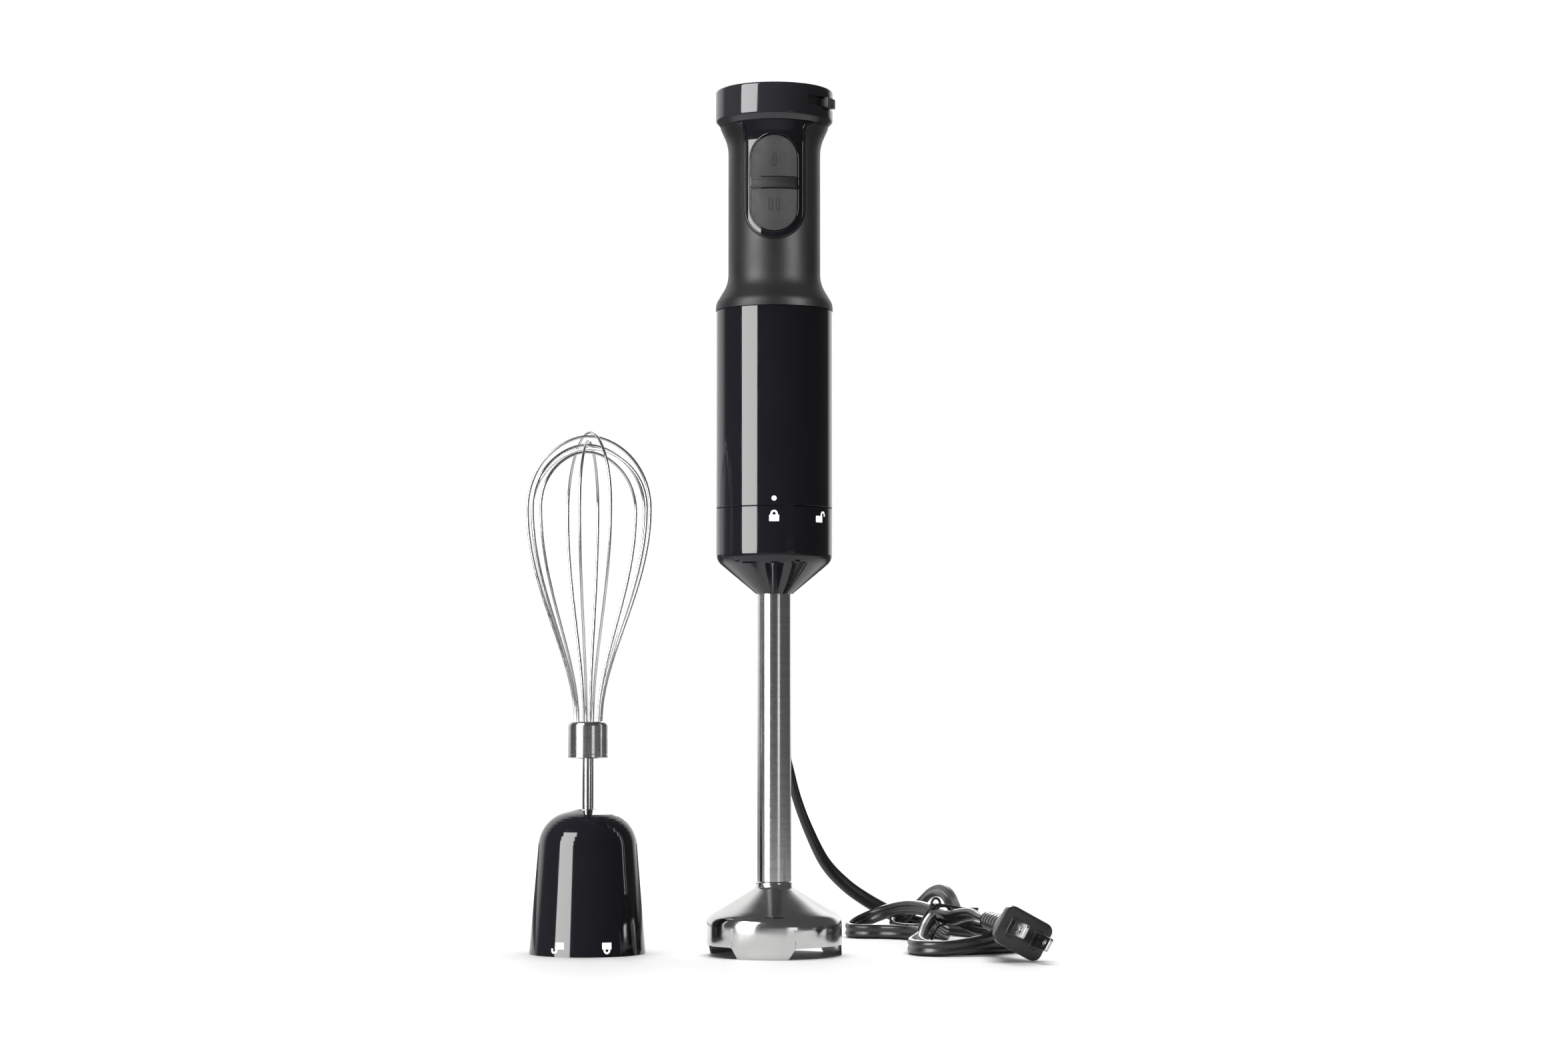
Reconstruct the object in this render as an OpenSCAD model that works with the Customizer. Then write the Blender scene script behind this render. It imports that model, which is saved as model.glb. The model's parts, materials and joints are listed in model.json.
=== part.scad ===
// Immersion blender standing on its blade guard, with its whisk attachment
// beside it and its mains lead coiled and tied on the floor behind.
// Millimetres. The origin is on the floor under the blender's axis, +Z is up
// and the control panel faces -Y. Angles called "round" are measured from the
// front (-Y) towards +X.

/* [Wand] */
// Height of the wand, from the floor to the seam under the motor housing
wand_h = 205.1; // [200:0.1:212]
// Diameter of the steel tube
tube_d = 15.6; // [15:0.1:16.4]
// Diameter of the blade guard
guard_d = 62.1; // [60:0.1:65]
// Height of the three tabs that the guard stands on
tab_h = 5; // [3:0.5:6]
// Width of one tab at the floor, in degrees
tab_w = 45; // [36:1:50]
// Where the first tab stands, in degrees round from the front
tab_turn = -10; // [-30:1:30]
// Swept diameter of the blade
blade_d = 42; // [36:1:46]

/* [Motor unit] */
// Diameter of the motor housing and of the lock collar
body_d = 53.8; // [53:0.1:55]
// Height of the glossy motor housing
housing_h = 91.9; // [88:0.1:100]
// Diameter of the rubber grip at its waist
waist_d = 42.7; // [42:0.1:44]
// Diameter of the cap
cap_d = 54.7; // [54.6:0.1:56]
// Height of the cap
cap_h = 17.3; // [17.3:0.1:20]
// Half the width of the control panel
panel_hw = 13.75; // [13:0.05:14.5]
// Half the width of the buttons' opening
button_hw = 10.8; // [10:0.1:11]
// How far each button travels
button_travel = 2; // [1:0.5:2.5]

/* [Speed slider] */
// Where the knob stands at rest, in degrees round from the front
knob_turn = 65; // [60:1:70]
// Height of the slot in the cap
slot_h = 4.7; // [4:0.1:5]
// First edge of the slot, in degrees round from the front
slot_from = 35; // [30:1:38]
// Last edge of the slot, in degrees round from the front
slot_to = 108; // [100:1:110]

/* [Whisk attachment] */
// Where the attachment stands, left of the blender
whisk_x = -86.4; // [-110:0.1:-80]
// Where the attachment stands, behind the blender's axis
whisk_y = 11; // [0:1:20]
// Height of the gear dome
dome_h = 66.1; // [66.1:0.1:70]
// Number of wire loops
loops = 6; // [4:1:6]
// Diameter of the whisk's wire
wire_d = 1.5; // [1.2:0.1:1.6]
// Greatest radius of the wire cage, at the wires' centres
cage_r = 28.6; // [24:0.1:32]

/* [Gears] */
// Tooth module of the planetary gears
gear_m = 0.85; // [0.84:0.01:0.86]
// Teeth on the sun gear
sun_z = 12; // [12:1:12]
// Teeth on each planet gear
planet_z = 15; // [15:1:15]
// Pressure angle
gear_pa = 25; // [25:1:25]

/* [Lead and plug] */
// Width of the flat twin lead
lead_w = 7; // [6:0.1:8]
// Distance between the plug's two prongs
prong_pitch = 12.7; // [12.7:0.1:12.7]
// Length of the prongs
prong_l = 17; // [15:0.5:18]

/* [Fits] */
// Radial clearance of a shaft in its bush
run_gap = 0.04; // [0.02:0.01:0.08]
// Clearance between mouldings that turn or slide past each other
slide_gap = 0.3; // [0.2:0.05:0.4]

/* [Hidden] */
$fn = 96;
body_r = body_d / 2;
tube_r = tube_d / 2;
guard_r = guard_d / 2;
waist_r = waist_d / 2;
cap_r = cap_d / 2;
seam = wand_h;
grip_z = seam + housing_h;
grip_h = 85.6;
cap_z = grip_z + grip_h;
total_h = cap_z + cap_h;
ring_z = planet_z * 2 + sun_z;
orbit_r = gear_m * (sun_z + planet_z) / 2;

// Shafts and bushes
shaft_r = 2.5;
bush_r = 4.5;
bush_h = 12;
bore_r = tube_r - 0.9;

// The twist lock: the spigot on the motor unit, its lugs and the ring's lugs
spigot_r = 22.1;
lug_r = 23.5;
ring_r = 23.8;
ring_lug_r = spigot_r + slide_gap;
collar_bore = 25.3;
lock_depth = 18.1;
lug_w = 40;
lug_h = 4;
twist = 50;

// Dog clutch between motor and shaft
dog_r = 7;
dog_w = 24;
dog_lead = 35;

// Rubber grip
rubber = 2;
shell = 1.8;
flare_r = 27.15;
rim_in = 21.4;

// Heights on the control panel, above the grip's lower edge
panel_low = 31.3;
opening_low = 34.6;
opening_high = 79.5;
bar_low = 54.5;
bar_high = 59.8;

// The lead's route: from the boot down behind the handle to the coils,
// and from the coils to the plug
lead_route = [
    [0, 54, 377.5], [0, 62, 374], [0, 72, 366], [0, 83, 349], [0, 91, 325],
    [0, 98, 285], [0, 103, 240], [0, 107, 200], [0, 111, 160], [1, 115, 130],
    [3, 119, 101], [7, 123, 84], [11, 126, 68], [17, 130, 52], [25, 134, 36],
    [35, 137, 25], [46, 139, 17], [58, 139, 10.5]
];
tail_route = [
    [81, 58, 14.5], [84, 49, 14.3], [88, 37, 16], [92.5, 24, 17.2], [96, 13, 16.2],
    [98.2, 4.3, 15.6]
];

// The coiled lead as four lumps: the round ends of each, as centre and
// radius, and its top. The loops on the floor come first, then the loop that
// stands up and the strands that the tie holds.
coil_floor = [[92, 98, 24], [90, 20, 29], 10];
coil_rear = [[60, 118, 24], [92, 98, 24], 13];
coil_loop = [[76, 115, 9], [86, 98, 9], 26];
coil_waist = [[70, 100, 8], [79, 60, 7], 18.5];
coil_foot = 0.5;

// Plug: the middle of its face, and how it is turned, tipped and rolled
plug_at = [111.5, -43, 12.7];
plug_turn = 15.7;
plug_tip = 3.4;
plug_roll = -28;

// ---------------------------------------------------------------- helpers

function unit(v) = v / norm(v);
function turn_of(v) = atan2(v[1], v[0]);
function shortest(a) = a > 180 ? a - 360 : a < -180 ? a + 360 : a;

// The arc that rounds corner b, between a and c, to radius r
function corner(a, b, c, r, n) =
    let (u = unit(a - b), w = unit(c - b), half = acos(u * w) / 2,
         o = b + unit(u + w) * r / sin(half),
         from = turn_of(b + u * r / tan(half) - o),
         sweep = shortest(turn_of(b + w * r / tan(half) - o) - from))
    [for (i = [0:n]) o + r * [cos(from + sweep * i / n), sin(from + sweep * i / n)]];

// A polygon whose points may carry a corner radius as their third number
function xy(p) = [p[0], p[1]];
function rounded(p, n = 6) = [
    for (i = [0:len(p) - 1])
        let (k = len(p), a = xy(p[(i + k - 1) % k]), b = xy(p[i]), c = xy(p[(i + 1) % k]))
        each (p[i][2] == undef ? [b] : corner(a, b, c, p[i][2], n))
];

module lathe(p, n = 6) rotate_extrude() polygon(rounded(p, n));

module tube(r_in, r_out, z0, z1) {
    difference() {
        translate([0, 0, z0]) cylinder(r = r_out, h = z1 - z0);
        translate([0, 0, z0 - 1]) cylinder(r = r_in, h = z1 - z0 + 2);
    }
}

module disc(r, z0, z1) translate([0, 0, z0]) cylinder(r = r, h = z1 - z0);

// A block of a ring, w degrees wide, whose middle stands at turn "mid"
module sector(r_in, r_out, z0, z1, mid, w) {
    translate([0, 0, z0])
        rotate([0, 0, mid - 90 - w / 2])
            rotate_extrude(angle = w)
                translate([r_in, 0]) square([r_out - r_in, z1 - z0]);
}

// Extrudes an outline drawn in x and z from the front towards the axis
module from_front(y0 = 5, y1 = 40) {
    rotate([90, 0, 0]) translate([0, 0, y0]) linear_extrude(y1 - y0) children();
}

module block(low, high) translate(low) cube(high - low);

// Points along a smooth curve through p, "per" to each stretch
function spline_at(p, i, t) =
    let (k = len(p) - 1, a = p[max(i - 1, 0)], b = p[i], c = p[i + 1], d = p[min(i + 2, k)])
    0.5 * (2 * b + (c - a) * t + (2 * a - 5 * b + 4 * c - d) * t * t
        + (3 * b - a - 3 * c + d) * t * t * t);
function smooth(p, per) = concat(
    [for (i = [0:len(p) - 2], s = [0:per - 1]) spline_at(p, i, s / per)], [p[len(p) - 1]]);

function tangents(p) = [
    for (i = [0:len(p) - 1]) unit(p[min(i + 1, len(p) - 1)] - p[max(i - 1, 0)])
];

// Sweeps a regular polygon of radius r along p; "side" is across the first point
module sweep(p, r, sides, side) {
    t = tangents(p);
    across = [
        for (i = 0, v = unit(side - (side * t[0]) * t[0]); i < len(p);
             i = i + 1, v = i < len(p) ? unit(v - (v * t[i]) * t[i]) : v) v
    ];
    points = [
        for (i = [0:len(p) - 1], s = [0:sides - 1])
            p[i] + r * (cos(360 * s / sides) * across[i]
                + sin(360 * s / sides) * cross(t[i], across[i]))
    ];
    last = (len(p) - 1) * sides;
    faces = concat(
        [[for (s = [0:sides - 1]) s]],
        [for (i = [0:len(p) - 2], s = [0:sides - 1])
            let (a = i * sides + s, b = i * sides + (s + 1) % sides)
            each [[a, a + sides, b + sides], [a, b + sides, b]]],
        [[for (s = [0:sides - 1]) last + sides - 1 - s]]);
    polyhedron(points, faces);
}

// -------------------------------------------------------------- the wand

guard_slope = 0.604;
guard_neck = 31.4;
guard_wall = 1.2;
function guard_cone(r) = guard_neck + (8 - r) * guard_slope;
guard_inner_r = guard_r - guard_wall;
guard_drop = 1.4;
neck_top = guard_neck + 2.4;

// Polished steel bell over the blade, cut away between its three tabs
module blade_guard() {
    gap_w = 120 - tab_w;
    low = 2 * guard_r * sin(gap_w / 2);
    high = 2 * guard_r * sin((gap_w - 12.5) / 2);
    brow_fillet = 6;
    color("silver") difference() {
        lathe([
            [guard_inner_r, 0], [guard_r, 0], [guard_r, guard_cone(guard_r), brow_fillet],
            [8.3, guard_cone(8.3), 3], [8.3, neck_top - 0.6, 0.4], [tube_r, neck_top],
            [bore_r, neck_top], [bore_r, guard_cone(bore_r) - guard_drop],
            [guard_inner_r, guard_cone(guard_inner_r) - guard_drop, brow_fillet - guard_wall]
        ]);
        for (a = [60:120:300])
            rotate([0, 0, a + tab_turn]) from_front(20, guard_r + 5)
                polygon(rounded([
                    [-low / 2 - 1, -1], [low / 2 + 1, -1], [low / 2, 0],
                    [high / 2, tab_h, 1.5], [-high / 2, tab_h, 1.5], [-low / 2, 0]
                ], 4));
    }
}

module wand_tube() color("gainsboro") tube(bore_r, tube_r, neck_top, seam - 24);

// Gloss collar at the top of the wand, with the socket for the motor unit
module lock_collar() {
    slope = 1 / 1.2;
    foot = seam - 39.5;
    floor_r = tube_r + 2.4;
    color("#15151a") lathe([
        [tube_r, foot], [tube_r + 0.4, foot],
        [body_r, foot + (body_r - tube_r - 0.4) * slope, 7],
        [body_r, seam - 0.35], [body_r - 0.35, seam], [collar_bore, seam],
        [collar_bore, foot + 2.6 + (collar_bore - tube_r - 0.4) * slope, 2],
        [floor_r, foot + 2.6 + 2 * slope], [floor_r, seam - 24.1], [tube_r, seam - 24.1]
    ]);
}

// Moulded floor of the socket, seated on the collar's hub
module collar_floor() {
    top = seam - lock_depth;
    color("dimgray") lathe([
        [9.3, seam - 24.1], [10.2, seam - 24.1], [11.5, seam - 23.4], [11.5, top - 2.5],
        [collar_bore, top - 2.5], [collar_bore, top], [9.3, top]
    ]);
}

// The two bushes that carry the drive shaft, and the mouldings that hold them
low_bush_z = 28;
high_bush_z = seam - 39;

module shaft_bushes() {
    color("peru") for (z = [low_bush_z, high_bush_z])
        tube(shaft_r + run_gap, bush_r, z, z + bush_h);
}

module bush_holders() {
    inner = guard_cone(8.5) - guard_drop - 0.2;
    color("white") {
        lathe([
            [bush_r, 19], [8.5, 19, 0.6], [8.5, inner - 0.3], [bore_r, inner + 0.7],
            [bore_r, low_bush_z + bush_h + 2], [bush_r, low_bush_z + bush_h + 2]
        ]);
        tube(bush_r, bore_r, high_bush_z, high_bush_z + bush_h);
    }
}

// Rubber lip seal under the lower bush
module shaft_seal() {
    color("black") lathe([
        [shaft_r + 0.1, 20], [3.1, 19.6], [bush_r, 20], [bush_r, 26], [3.6, 26],
        [3.6, 23.5], [shaft_r + 0.1, 22]
    ]);
}

// Lugged ring in the collar's mouth, which the spigot's lugs turn under
module bayonet_ring() {
    color("gray") {
        tube(ring_r, collar_bore - slide_gap, seam - lock_depth + 0.2, seam - 0.5);
        for (a = [0:120:240]) {
            sector(ring_lug_r, ring_r + 0.1, seam - 6.1, seam - 2.1, a, lug_w);
            sector(ring_lug_r, ring_r + 0.1, seam - 13, seam - 6.1, a - lug_w / 2 - 2, 2.5);
            sector(ring_lug_r, ring_r + 0.1, seam - 13, seam - 6.1,
                a + twist + lug_w / 2 + 2, 2.5);
        }
    }
}

// ------------------------------------------------------- the blade's shaft

blade_z = 8.3;
blade_t = 1.2;

module drive_shaft() color("silver") disc(shaft_r, 6, seam - 20.6);

// Three wings on a hub, which the motor's dog drives
module wings(z0, z1) {
    for (a = [0:120:240]) sector(2.8, dog_r - 0.2, z0, z1, a, dog_w);
}

module shaft_socket() {
    color("darkgray") {
        difference() {
            disc(dog_r, seam - 23.1, seam - 20.1);
            disc(shaft_r, seam - 24, seam - 20.6);
        }
        wings(seam - 20.3, seam - 13.6);
    }
}

module blade_hub() {
    color("silver") lathe([
        [shaft_r, blade_z + blade_t], [6.2, blade_z + blade_t], [6.2, 12.5, 0.8],
        [4.6, 14.5, 0.8], [4.6, 18, 0.5], [shaft_r, 18]
    ]);
}

// Two sharpened wings with their tips bent one up and one down
module blade() {
    half = blade_d / 2;
    tip = 6;
    color("lightgray") difference() {
        union() {
            for (side = [0, 1]) rotate([0, 0, 180 * side]) {
                translate([0, 0, blade_z]) linear_extrude(blade_t)
                    polygon(rounded([
                        [-3, -5.5], [5, -5.5, 2], [half - tip, -3.4], [half - tip, 3.2],
                        [5, 5.5, 2], [-3, 5.5]
                    ], 4));
                translate([half - tip, 0, blade_z + blade_t / 2])
                    rotate([0, side == 0 ? -32 : 26, 0])
                        translate([-0.4, 0, -blade_t / 2]) linear_extrude(blade_t)
                            polygon(rounded([
                                [0, -3.4], [tip, -2.6, 1.2], [tip + 0.8, 1.6, 0.8], [0, 3.2]
                            ], 4));
            }
            disc(6.2, blade_z, blade_z + blade_t);
        }
        disc(shaft_r, blade_z - 1, blade_z + blade_t + 1);
    }
}

module blade_nut() {
    color("silver") lathe([
        [0, 4.6], [3.4, 4.6, 1.2], [4.6, 6, 0.6], [4.6, blade_z], [shaft_r, blade_z],
        [shaft_r, 6], [0, 6]
    ]);
}

// --------------------------------------------------- shells of the motor unit

module motor_housing() {
    wall_r = body_r - 2;
    color("#15151a") lathe([
        [wall_r, seam], [body_r - 0.35, seam], [body_r, seam + 0.35],
        [body_r, grip_z - 0.35], [body_r - 0.35, grip_z], [wall_r, grip_z]
    ]);
}

// Spigot under the housing: it enters the collar and locks by its lugs
module lock_spigot() {
    low = seam - 16.1;
    color("#26262b") {
        lathe([
            [9.2, low], [spigot_r, low, 0.8], [spigot_r, seam], [body_r - 2, seam],
            [body_r - 2, seam + 3], [20.3, seam + 3], [20.3, low + 2.5], [9.2, low + 2.5]
        ], 4);
        for (a = [0:120:240])
            sector(spigot_r - 0.1, lug_r, seam - 10.6, seam - 6.6, a, lug_w);
    }
}

// Inner plastic shell of the grip, open in front behind the buttons
module grip_core() {
    top = cap_z + 4.2;
    in = waist_r - rubber - shell;
    color("#202024") difference() {
        lathe(concat([
            [22.9, grip_z - 6.5], [22.9, grip_z + 2.4, 4], [in, grip_z + 10.2, 6],
            [in, grip_z + 80.4, 6], [rim_in, cap_z - 0.2], [rim_in, top],
            [23.2, top], [23.2, cap_z]
        ], grip_inside(rubber), [[body_r - 2, grip_z], [body_r - 2, grip_z - 6.5]]), 8);
        from_front() translate([0, grip_z]) stadium(button_hw + 0.6, opening_low - 0.6,
            opening_high + 0.6);
    }
}

// The grip's outer curve, moved inwards by "inset"
function grip_outside(inset) = [
    [flare_r - inset, grip_z], [flare_r - inset, grip_z + 3.2, 7],
    [waist_r - inset, grip_z + 12.8, 16], [waist_r - inset, grip_z + 77.4, 20],
    [25.04 - inset, cap_z]
];
function grip_inside(inset) = [
    [25.04 - inset, cap_z], [waist_r - inset, grip_z + 79.6, 6],
    [waist_r - inset, grip_z + 11, 6], [flare_r - inset, grip_z + 2.6, 4],
    [flare_r - inset, grip_z]
];

// An upright slot with round ends, in x and z
module stadium(hw, low, high) {
    translate([-hw, low + hw]) square([2 * hw, high - low - 2 * hw]);
    for (z = [low + hw, high - hw]) translate([0, z]) circle(r = hw);
}

// The control panel's outline: a round foot, and a top that widens to the cap
module panel_outline(inset) {
    hw = panel_hw - inset;
    flare = 4.5;
    translate([0, grip_z]) {
        translate([0, panel_low + panel_hw]) circle(r = hw);
        translate([-hw, panel_low + panel_hw])
            square([2 * hw, grip_h + 5 - panel_low - panel_hw]);
        difference() {
            translate([-hw - flare, grip_h - flare - inset])
                square([2 * (hw + flare), 5 + flare]);
            for (s = [-1, 1]) translate([s * (hw + flare), grip_h - flare - inset])
                circle(r = flare);
        }
    }
}

module grip_sleeve() {
    color("#2b2b2e") difference() {
        lathe(concat(grip_outside(0), grip_inside(rubber)), 8);
        from_front() panel_outline(0);
    }
}

// The two halves of the opening, above and below the bar
module button_outline(low, high, inset) {
    intersection() {
        translate([0, grip_z])
            stadium(button_hw - inset, opening_low + inset, opening_high - inset);
        translate([-20, grip_z + low + inset]) square([40, high - low - 2 * inset]);
    }
}

module control_panel() {
    color("#15151a") difference() {
        intersection() {
            lathe(concat(grip_outside(-0.1), grip_inside(rubber)), 8);
            from_front() panel_outline(0.15);
        }
        from_front() {
            button_outline(opening_low, bar_low, 0);
            button_outline(bar_high, opening_high, 0);
        }
    }
}

// A button cap with a stem that reaches its switch
module button(low, high, switch_z) {
    face_r = waist_r + 0.1;
    color("#15151a") {
        intersection() {
            tube(face_r - 3.6, face_r, grip_z + low - 1, grip_z + high + 1);
            from_front() button_outline(low, high, 0.25);
        }
        block([-2, -(face_r - 3.2), grip_z + switch_z - 3],
            [2, -14.1 - button_travel, grip_z + switch_z + 3]);
    }
}

low_switch = 46;
high_switch = 68.5;
module button_low() button(opening_low, bar_low, low_switch);
module button_high() button(bar_high, opening_high, high_switch);

// Cap with the slider's slot and the lead's outlet
boot_at = [0, 23, total_h - 8];
boot_tip = 25;
boot_r = 5.2;
module along_boot() translate(boot_at) rotate([-90 - boot_tip, 0, 0]) children();

module top_cap() {
    wall = 2;
    in = cap_r - wall;
    slot_z = cap_z + 7.5;
    color("#15151a") difference() {
        lathe([
            [23.2, cap_z], [24.6, cap_z, 0.4], [cap_r, cap_z + 3, 2],
            [cap_r, total_h, 1.2], [0, total_h],
            [0, total_h - wall], [in, total_h - wall], [in, cap_z + 5.7], [23.2, cap_z + 5.7]
        ], 8);
        sector(in - 2, cap_r + 2, slot_z, slot_z + slot_h, (slot_from + slot_to) / 2,
            slot_to - slot_from);
        along_boot() cylinder(r = boot_r + 0.1, h = 12);
    }
}

// Rotor of the speed control: spindle, web, rim behind the slot, and knob
module speed_slider() {
    rim_w = 2 * 66;
    rim_r = cap_r - 2 - slide_gap;
    web_z = cap_z + 6.3;
    knob_w = 16;
    color("#3a3a3f") {
        disc(3, cap_z + 3.8, web_z + 6);
        sector(2.5, rim_r, web_z, web_z + 1.2, knob_turn, rim_w);
        sector(rim_r - 1.2, rim_r, web_z, web_z + 7, knob_turn, rim_w);
        sector(rim_r - 0.5, cap_r + slide_gap + 0.2, web_z + 1.7, web_z + 5.4,
            knob_turn, knob_w);
        difference() {
            sector(cap_r + slide_gap, cap_r + 2.2, web_z + 1.3, web_z + 5.7,
                knob_turn, knob_w);
            for (a = [-4:4:4]) rotate([0, 0, knob_turn - 90 + a])
                translate([cap_r + 2.5, 0, web_z]) cylinder(r = 0.7, h = 8, $fn = 24);
        }
    }
}

// ------------------------------------------------------------- the motor

core_low = seam + 28.9;
core_high = core_low + 28;
bolt_at = 21.4;
bolt_r = 1.5;
bracket_r = body_r - 2;
bearing_r = 5.5;

module at_bolts() for (s = [-1, 1]) translate([s * bolt_at, 0, 0]) children();

// A bracket plate with two arms that reach the stator
module bracket(z0, z1, arm_low, arm_high) {
    difference() {
        union() {
            tube(bearing_r, bracket_r, z0, z1);
            for (a = [0, 180])
                sector(19.5, 23.5, arm_low, arm_high, a, 50);
        }
        at_bolts() translate([0, 0, z0 - 1]) cylinder(r = bolt_r + 0.1, h = z1 - z0 + 2);
        for (a = [45:90:315]) rotate([0, 0, a])
            translate([13, 0, z0 - 1]) cylinder(r = 4, h = z1 - z0 + 2);
    }
}

module lower_bracket()
    color("silver") bracket(seam + 3, seam + 6, seam + 6, core_low);

module upper_bracket()
    color("silver") bracket(seam + 80, seam + 83, core_high, seam + 80);

module motor_bearings() {
    color("peru") for (z = [seam + 2, seam + 79])
        tube(shaft_r + run_gap, bearing_r, z, z + 5);
}

module motor_bolts() {
    color("gold") at_bolts() {
        disc(bolt_r, seam + 3, seam + 83);
        difference() {
            disc(2.6, seam + 83, seam + 85.2);
            block([-3, -0.4, seam + 84.2], [3, 0.4, seam + 86]);
        }
    }
}

slot_in = 13.5;
slot_out = 19;
slot_turns = [42.5, 137.5, 222.5, 317.5];

// Laminated ring whose two poles stand at the front and the back
module stator_core() {
    color("slategray") difference() {
        tube(12.3, 22.4, core_low, core_high);
        for (a = slot_turns)
            sector(slot_in, slot_out, core_low - 1, core_high + 1, a, 26);
        at_bolts() disc(bolt_r + 0.2, core_low - 1, core_high + 1);
    }
}

// One winding round each pole: two legs in the slots, joined past each end
module field_coils() {
    end_h = 5;
    in = slot_in + 0.2;
    out = slot_out - 0.2;
    color("chocolate") for (a = [0, 180]) difference() {
        sector(in, out, core_low - end_h, core_high + end_h, a, 109);
        sector(in - 1, out + 1, core_low, core_high, a, 61);
    }
}

brush_z = seam + 70.5;
bar_r = 7;

module motor_shaft() color("silver") disc(shaft_r, seam - 12.6, seam + 86);

module armature_core() {
    color("slategray") difference() {
        tube(shaft_r, 11.9, core_low, core_high);
        for (a = [0:30:330]) rotate([0, 0, a]) {
            translate([9, 0, core_low - 1]) cylinder(r = 1.5, h = 30, $fn = 24);
            block([9, -0.6, core_low - 1], [13, 0.6, core_high + 1]);
        }
    }
}

module armature_windings() {
    color("chocolate") {
        lathe([[3, core_low - 5.5, 1], [10, core_low - 5.5, 2.5], [11, core_low],
            [3, core_low]]);
        lathe([[3, core_high], [11, core_high], [10, core_high + 5.5, 2.5],
            [3, core_high + 5.5, 1]]);
    }
}

// Twelve copper bars round the shaft
module commutator() {
    color("peru") difference() {
        union() {
            tube(shaft_r, bar_r, core_high + 7, core_high + 18);
            tube(shaft_r, bar_r + 1.2, core_high + 7, core_high + 8.6);
        }
        for (a = [0:30:150]) rotate([0, 0, a]) for (s = [-1, 1])
            block([s > 0 ? 5.8 : -9, -0.2, core_high + 6],
                [s > 0 ? 9 : -5.8, 0.2, core_high + 19]);
    }
}

// Radial fan under the armature
module cooling_fan() {
    z = seam + 10.5;
    color("whitesmoke") {
        tube(shaft_r, 4.6, z, z + 8);
        tube(4.5, 17.8, z, z + 1.2);
        for (a = [0:40:320]) rotate([0, 0, a])
            block([8, -0.6, z + 1.1], [17.6, 0.6, z + 7.5]);
    }
}

// The motor's end of the clutch; its wings start dog_lead past the socket's
module drive_dog() {
    color("darkgray") {
        difference() {
            disc(dog_r, seam - 13.1, seam - 9.6);
            disc(shaft_r, seam - 12.6, seam - 9);
        }
        tube(shaft_r, 4.4, seam - 9.6, seam - 5);
        rotate([0, 0, dog_lead]) wings(seam - 19.1, seam - 12.9);
    }
}

brush_in = bar_r + 0.05;
module at_brushes() {
    for (a = [0, 180]) rotate([0, 0, a]) translate([0, 0, brush_z]) children();
}

module brush_holders() {
    color("goldenrod") at_brushes() difference() {
        union() {
            block([8.8, -3.4, -4.2], [19.4, 3.4, 4.2]);
            block([11, -1.5, 4.1], [17, 1.5, 9.5]);
        }
        block([8, -2.5, -3.3], [18.7, 2.5, 3.3]);
    }
}

module carbon_brushes() {
    color("#303030") at_brushes() difference() {
        block([6, -2.4, -3.2], [13.3, 2.4, 3.2]);
        translate([0, 0, -5]) cylinder(r = brush_in, h = 10);
    }
}

// Small coil springs that press the brushes
module brush_springs() {
    turns = 5;
    from_x = 13.6;
    to_x = 18.4;
    color("silver") at_brushes()
        sweep([for (i = [0:turns * 12]) [
            from_x + (to_x - from_x) * i / (turns * 12),
            1.9 * cos(30 * i), 1.9 * sin(30 * i)]], 0.2, 6, [0, 1, 0]);
}

// --------------------------------------------------- electrics in the grip

board_y = -6;
module circuit_board() {
    low = grip_z + 24;
    color("darkgreen") block([-16.2, board_y, low], [16.2, board_y + 1.6, cap_z - 1.6]);
    color("gold") block([-8, board_y + 1.6, low + 4], [8, board_y + 11, low + 22]);
    color("#303030") {
        block([-5, board_y + 1.6, low + 30], [5, board_y + 6, low + 45]);
        translate([6, board_y + 1.6, low + 51]) rotate([-90, 0, 0])
            cylinder(r = 3.5, h = 9);
    }
}

module microswitches() {
    for (z = [grip_z + low_switch, grip_z + high_switch]) {
        color("#303030") block([-6.4, board_y - 6.4, z - 3], [6.4, board_y, z + 3]);
        color("red") block([-1.2, board_y - 7.4, z - 1.5], [1.2, board_y - 6.4, z + 1.5]);
    }
}

module speed_potentiometer() {
    color("royalblue") difference() {
        union() {
            disc(8.2, cap_z - 1.6, cap_z + 3);
            disc(4.2, cap_z + 3, cap_z + 5);
        }
        disc(3.1, cap_z + 2, cap_z + 6);
    }
}

// ------------------------------------------------------- lead and its plug

module cord_clamp() {
    color("#303030") difference() {
        intersection() {
            block([-8, 10, cap_z - 0.2], [8, 22, cap_z + 4.5]);
            disc(rim_in, cap_z - 0.2, cap_z + 4.5);
        }
        block([-lead_w / 2, 9, cap_z + 1], [lead_w / 2, 23, cap_z + 5]);
    }
    color("silver") for (x = [-5.8, 5.8]) translate([x, 12.7, cap_z + 4.5])
        cylinder(r = 1.5, h = 1, $fn = 24);
}

// Tapered, ribbed boot round the lead where it leaves the cap
module cord_boot() {
    color("#15151a") along_boot() difference() {
        cylinder(r1 = boot_r, r2 = 4.1, h = 34);
        for (s = [9:4:29]) for (flip = [0, 180]) rotate([0, 0, flip])
            translate([1.4, -7, s]) cube([6, 14, 1.4]);
    }
}

module cord_lead() {
    color("#101012") {
        sweep(smooth(lead_route, 2), lead_w / 2, 8, [1, 0, 0]);
        sweep(smooth(tail_route, 1), lead_w / 2, 8, [1, 0, 0]);
    }
}

// The coiled lead: one closed solid with round ends
module coil_lump(lump) {
    translate([0, 0, coil_foot]) linear_extrude(lump[2] - coil_foot)
        hull() for (e = [lump[0], lump[1]]) translate(xy(e)) circle(r = e[2], $fn = 48);
}

module cord_bundle() {
    color("#1b1b1e") {
        coil_lump(coil_floor);
        coil_lump(coil_rear);
        coil_lump(coil_loop);
        coil_lump(coil_waist);
    }
}

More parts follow.
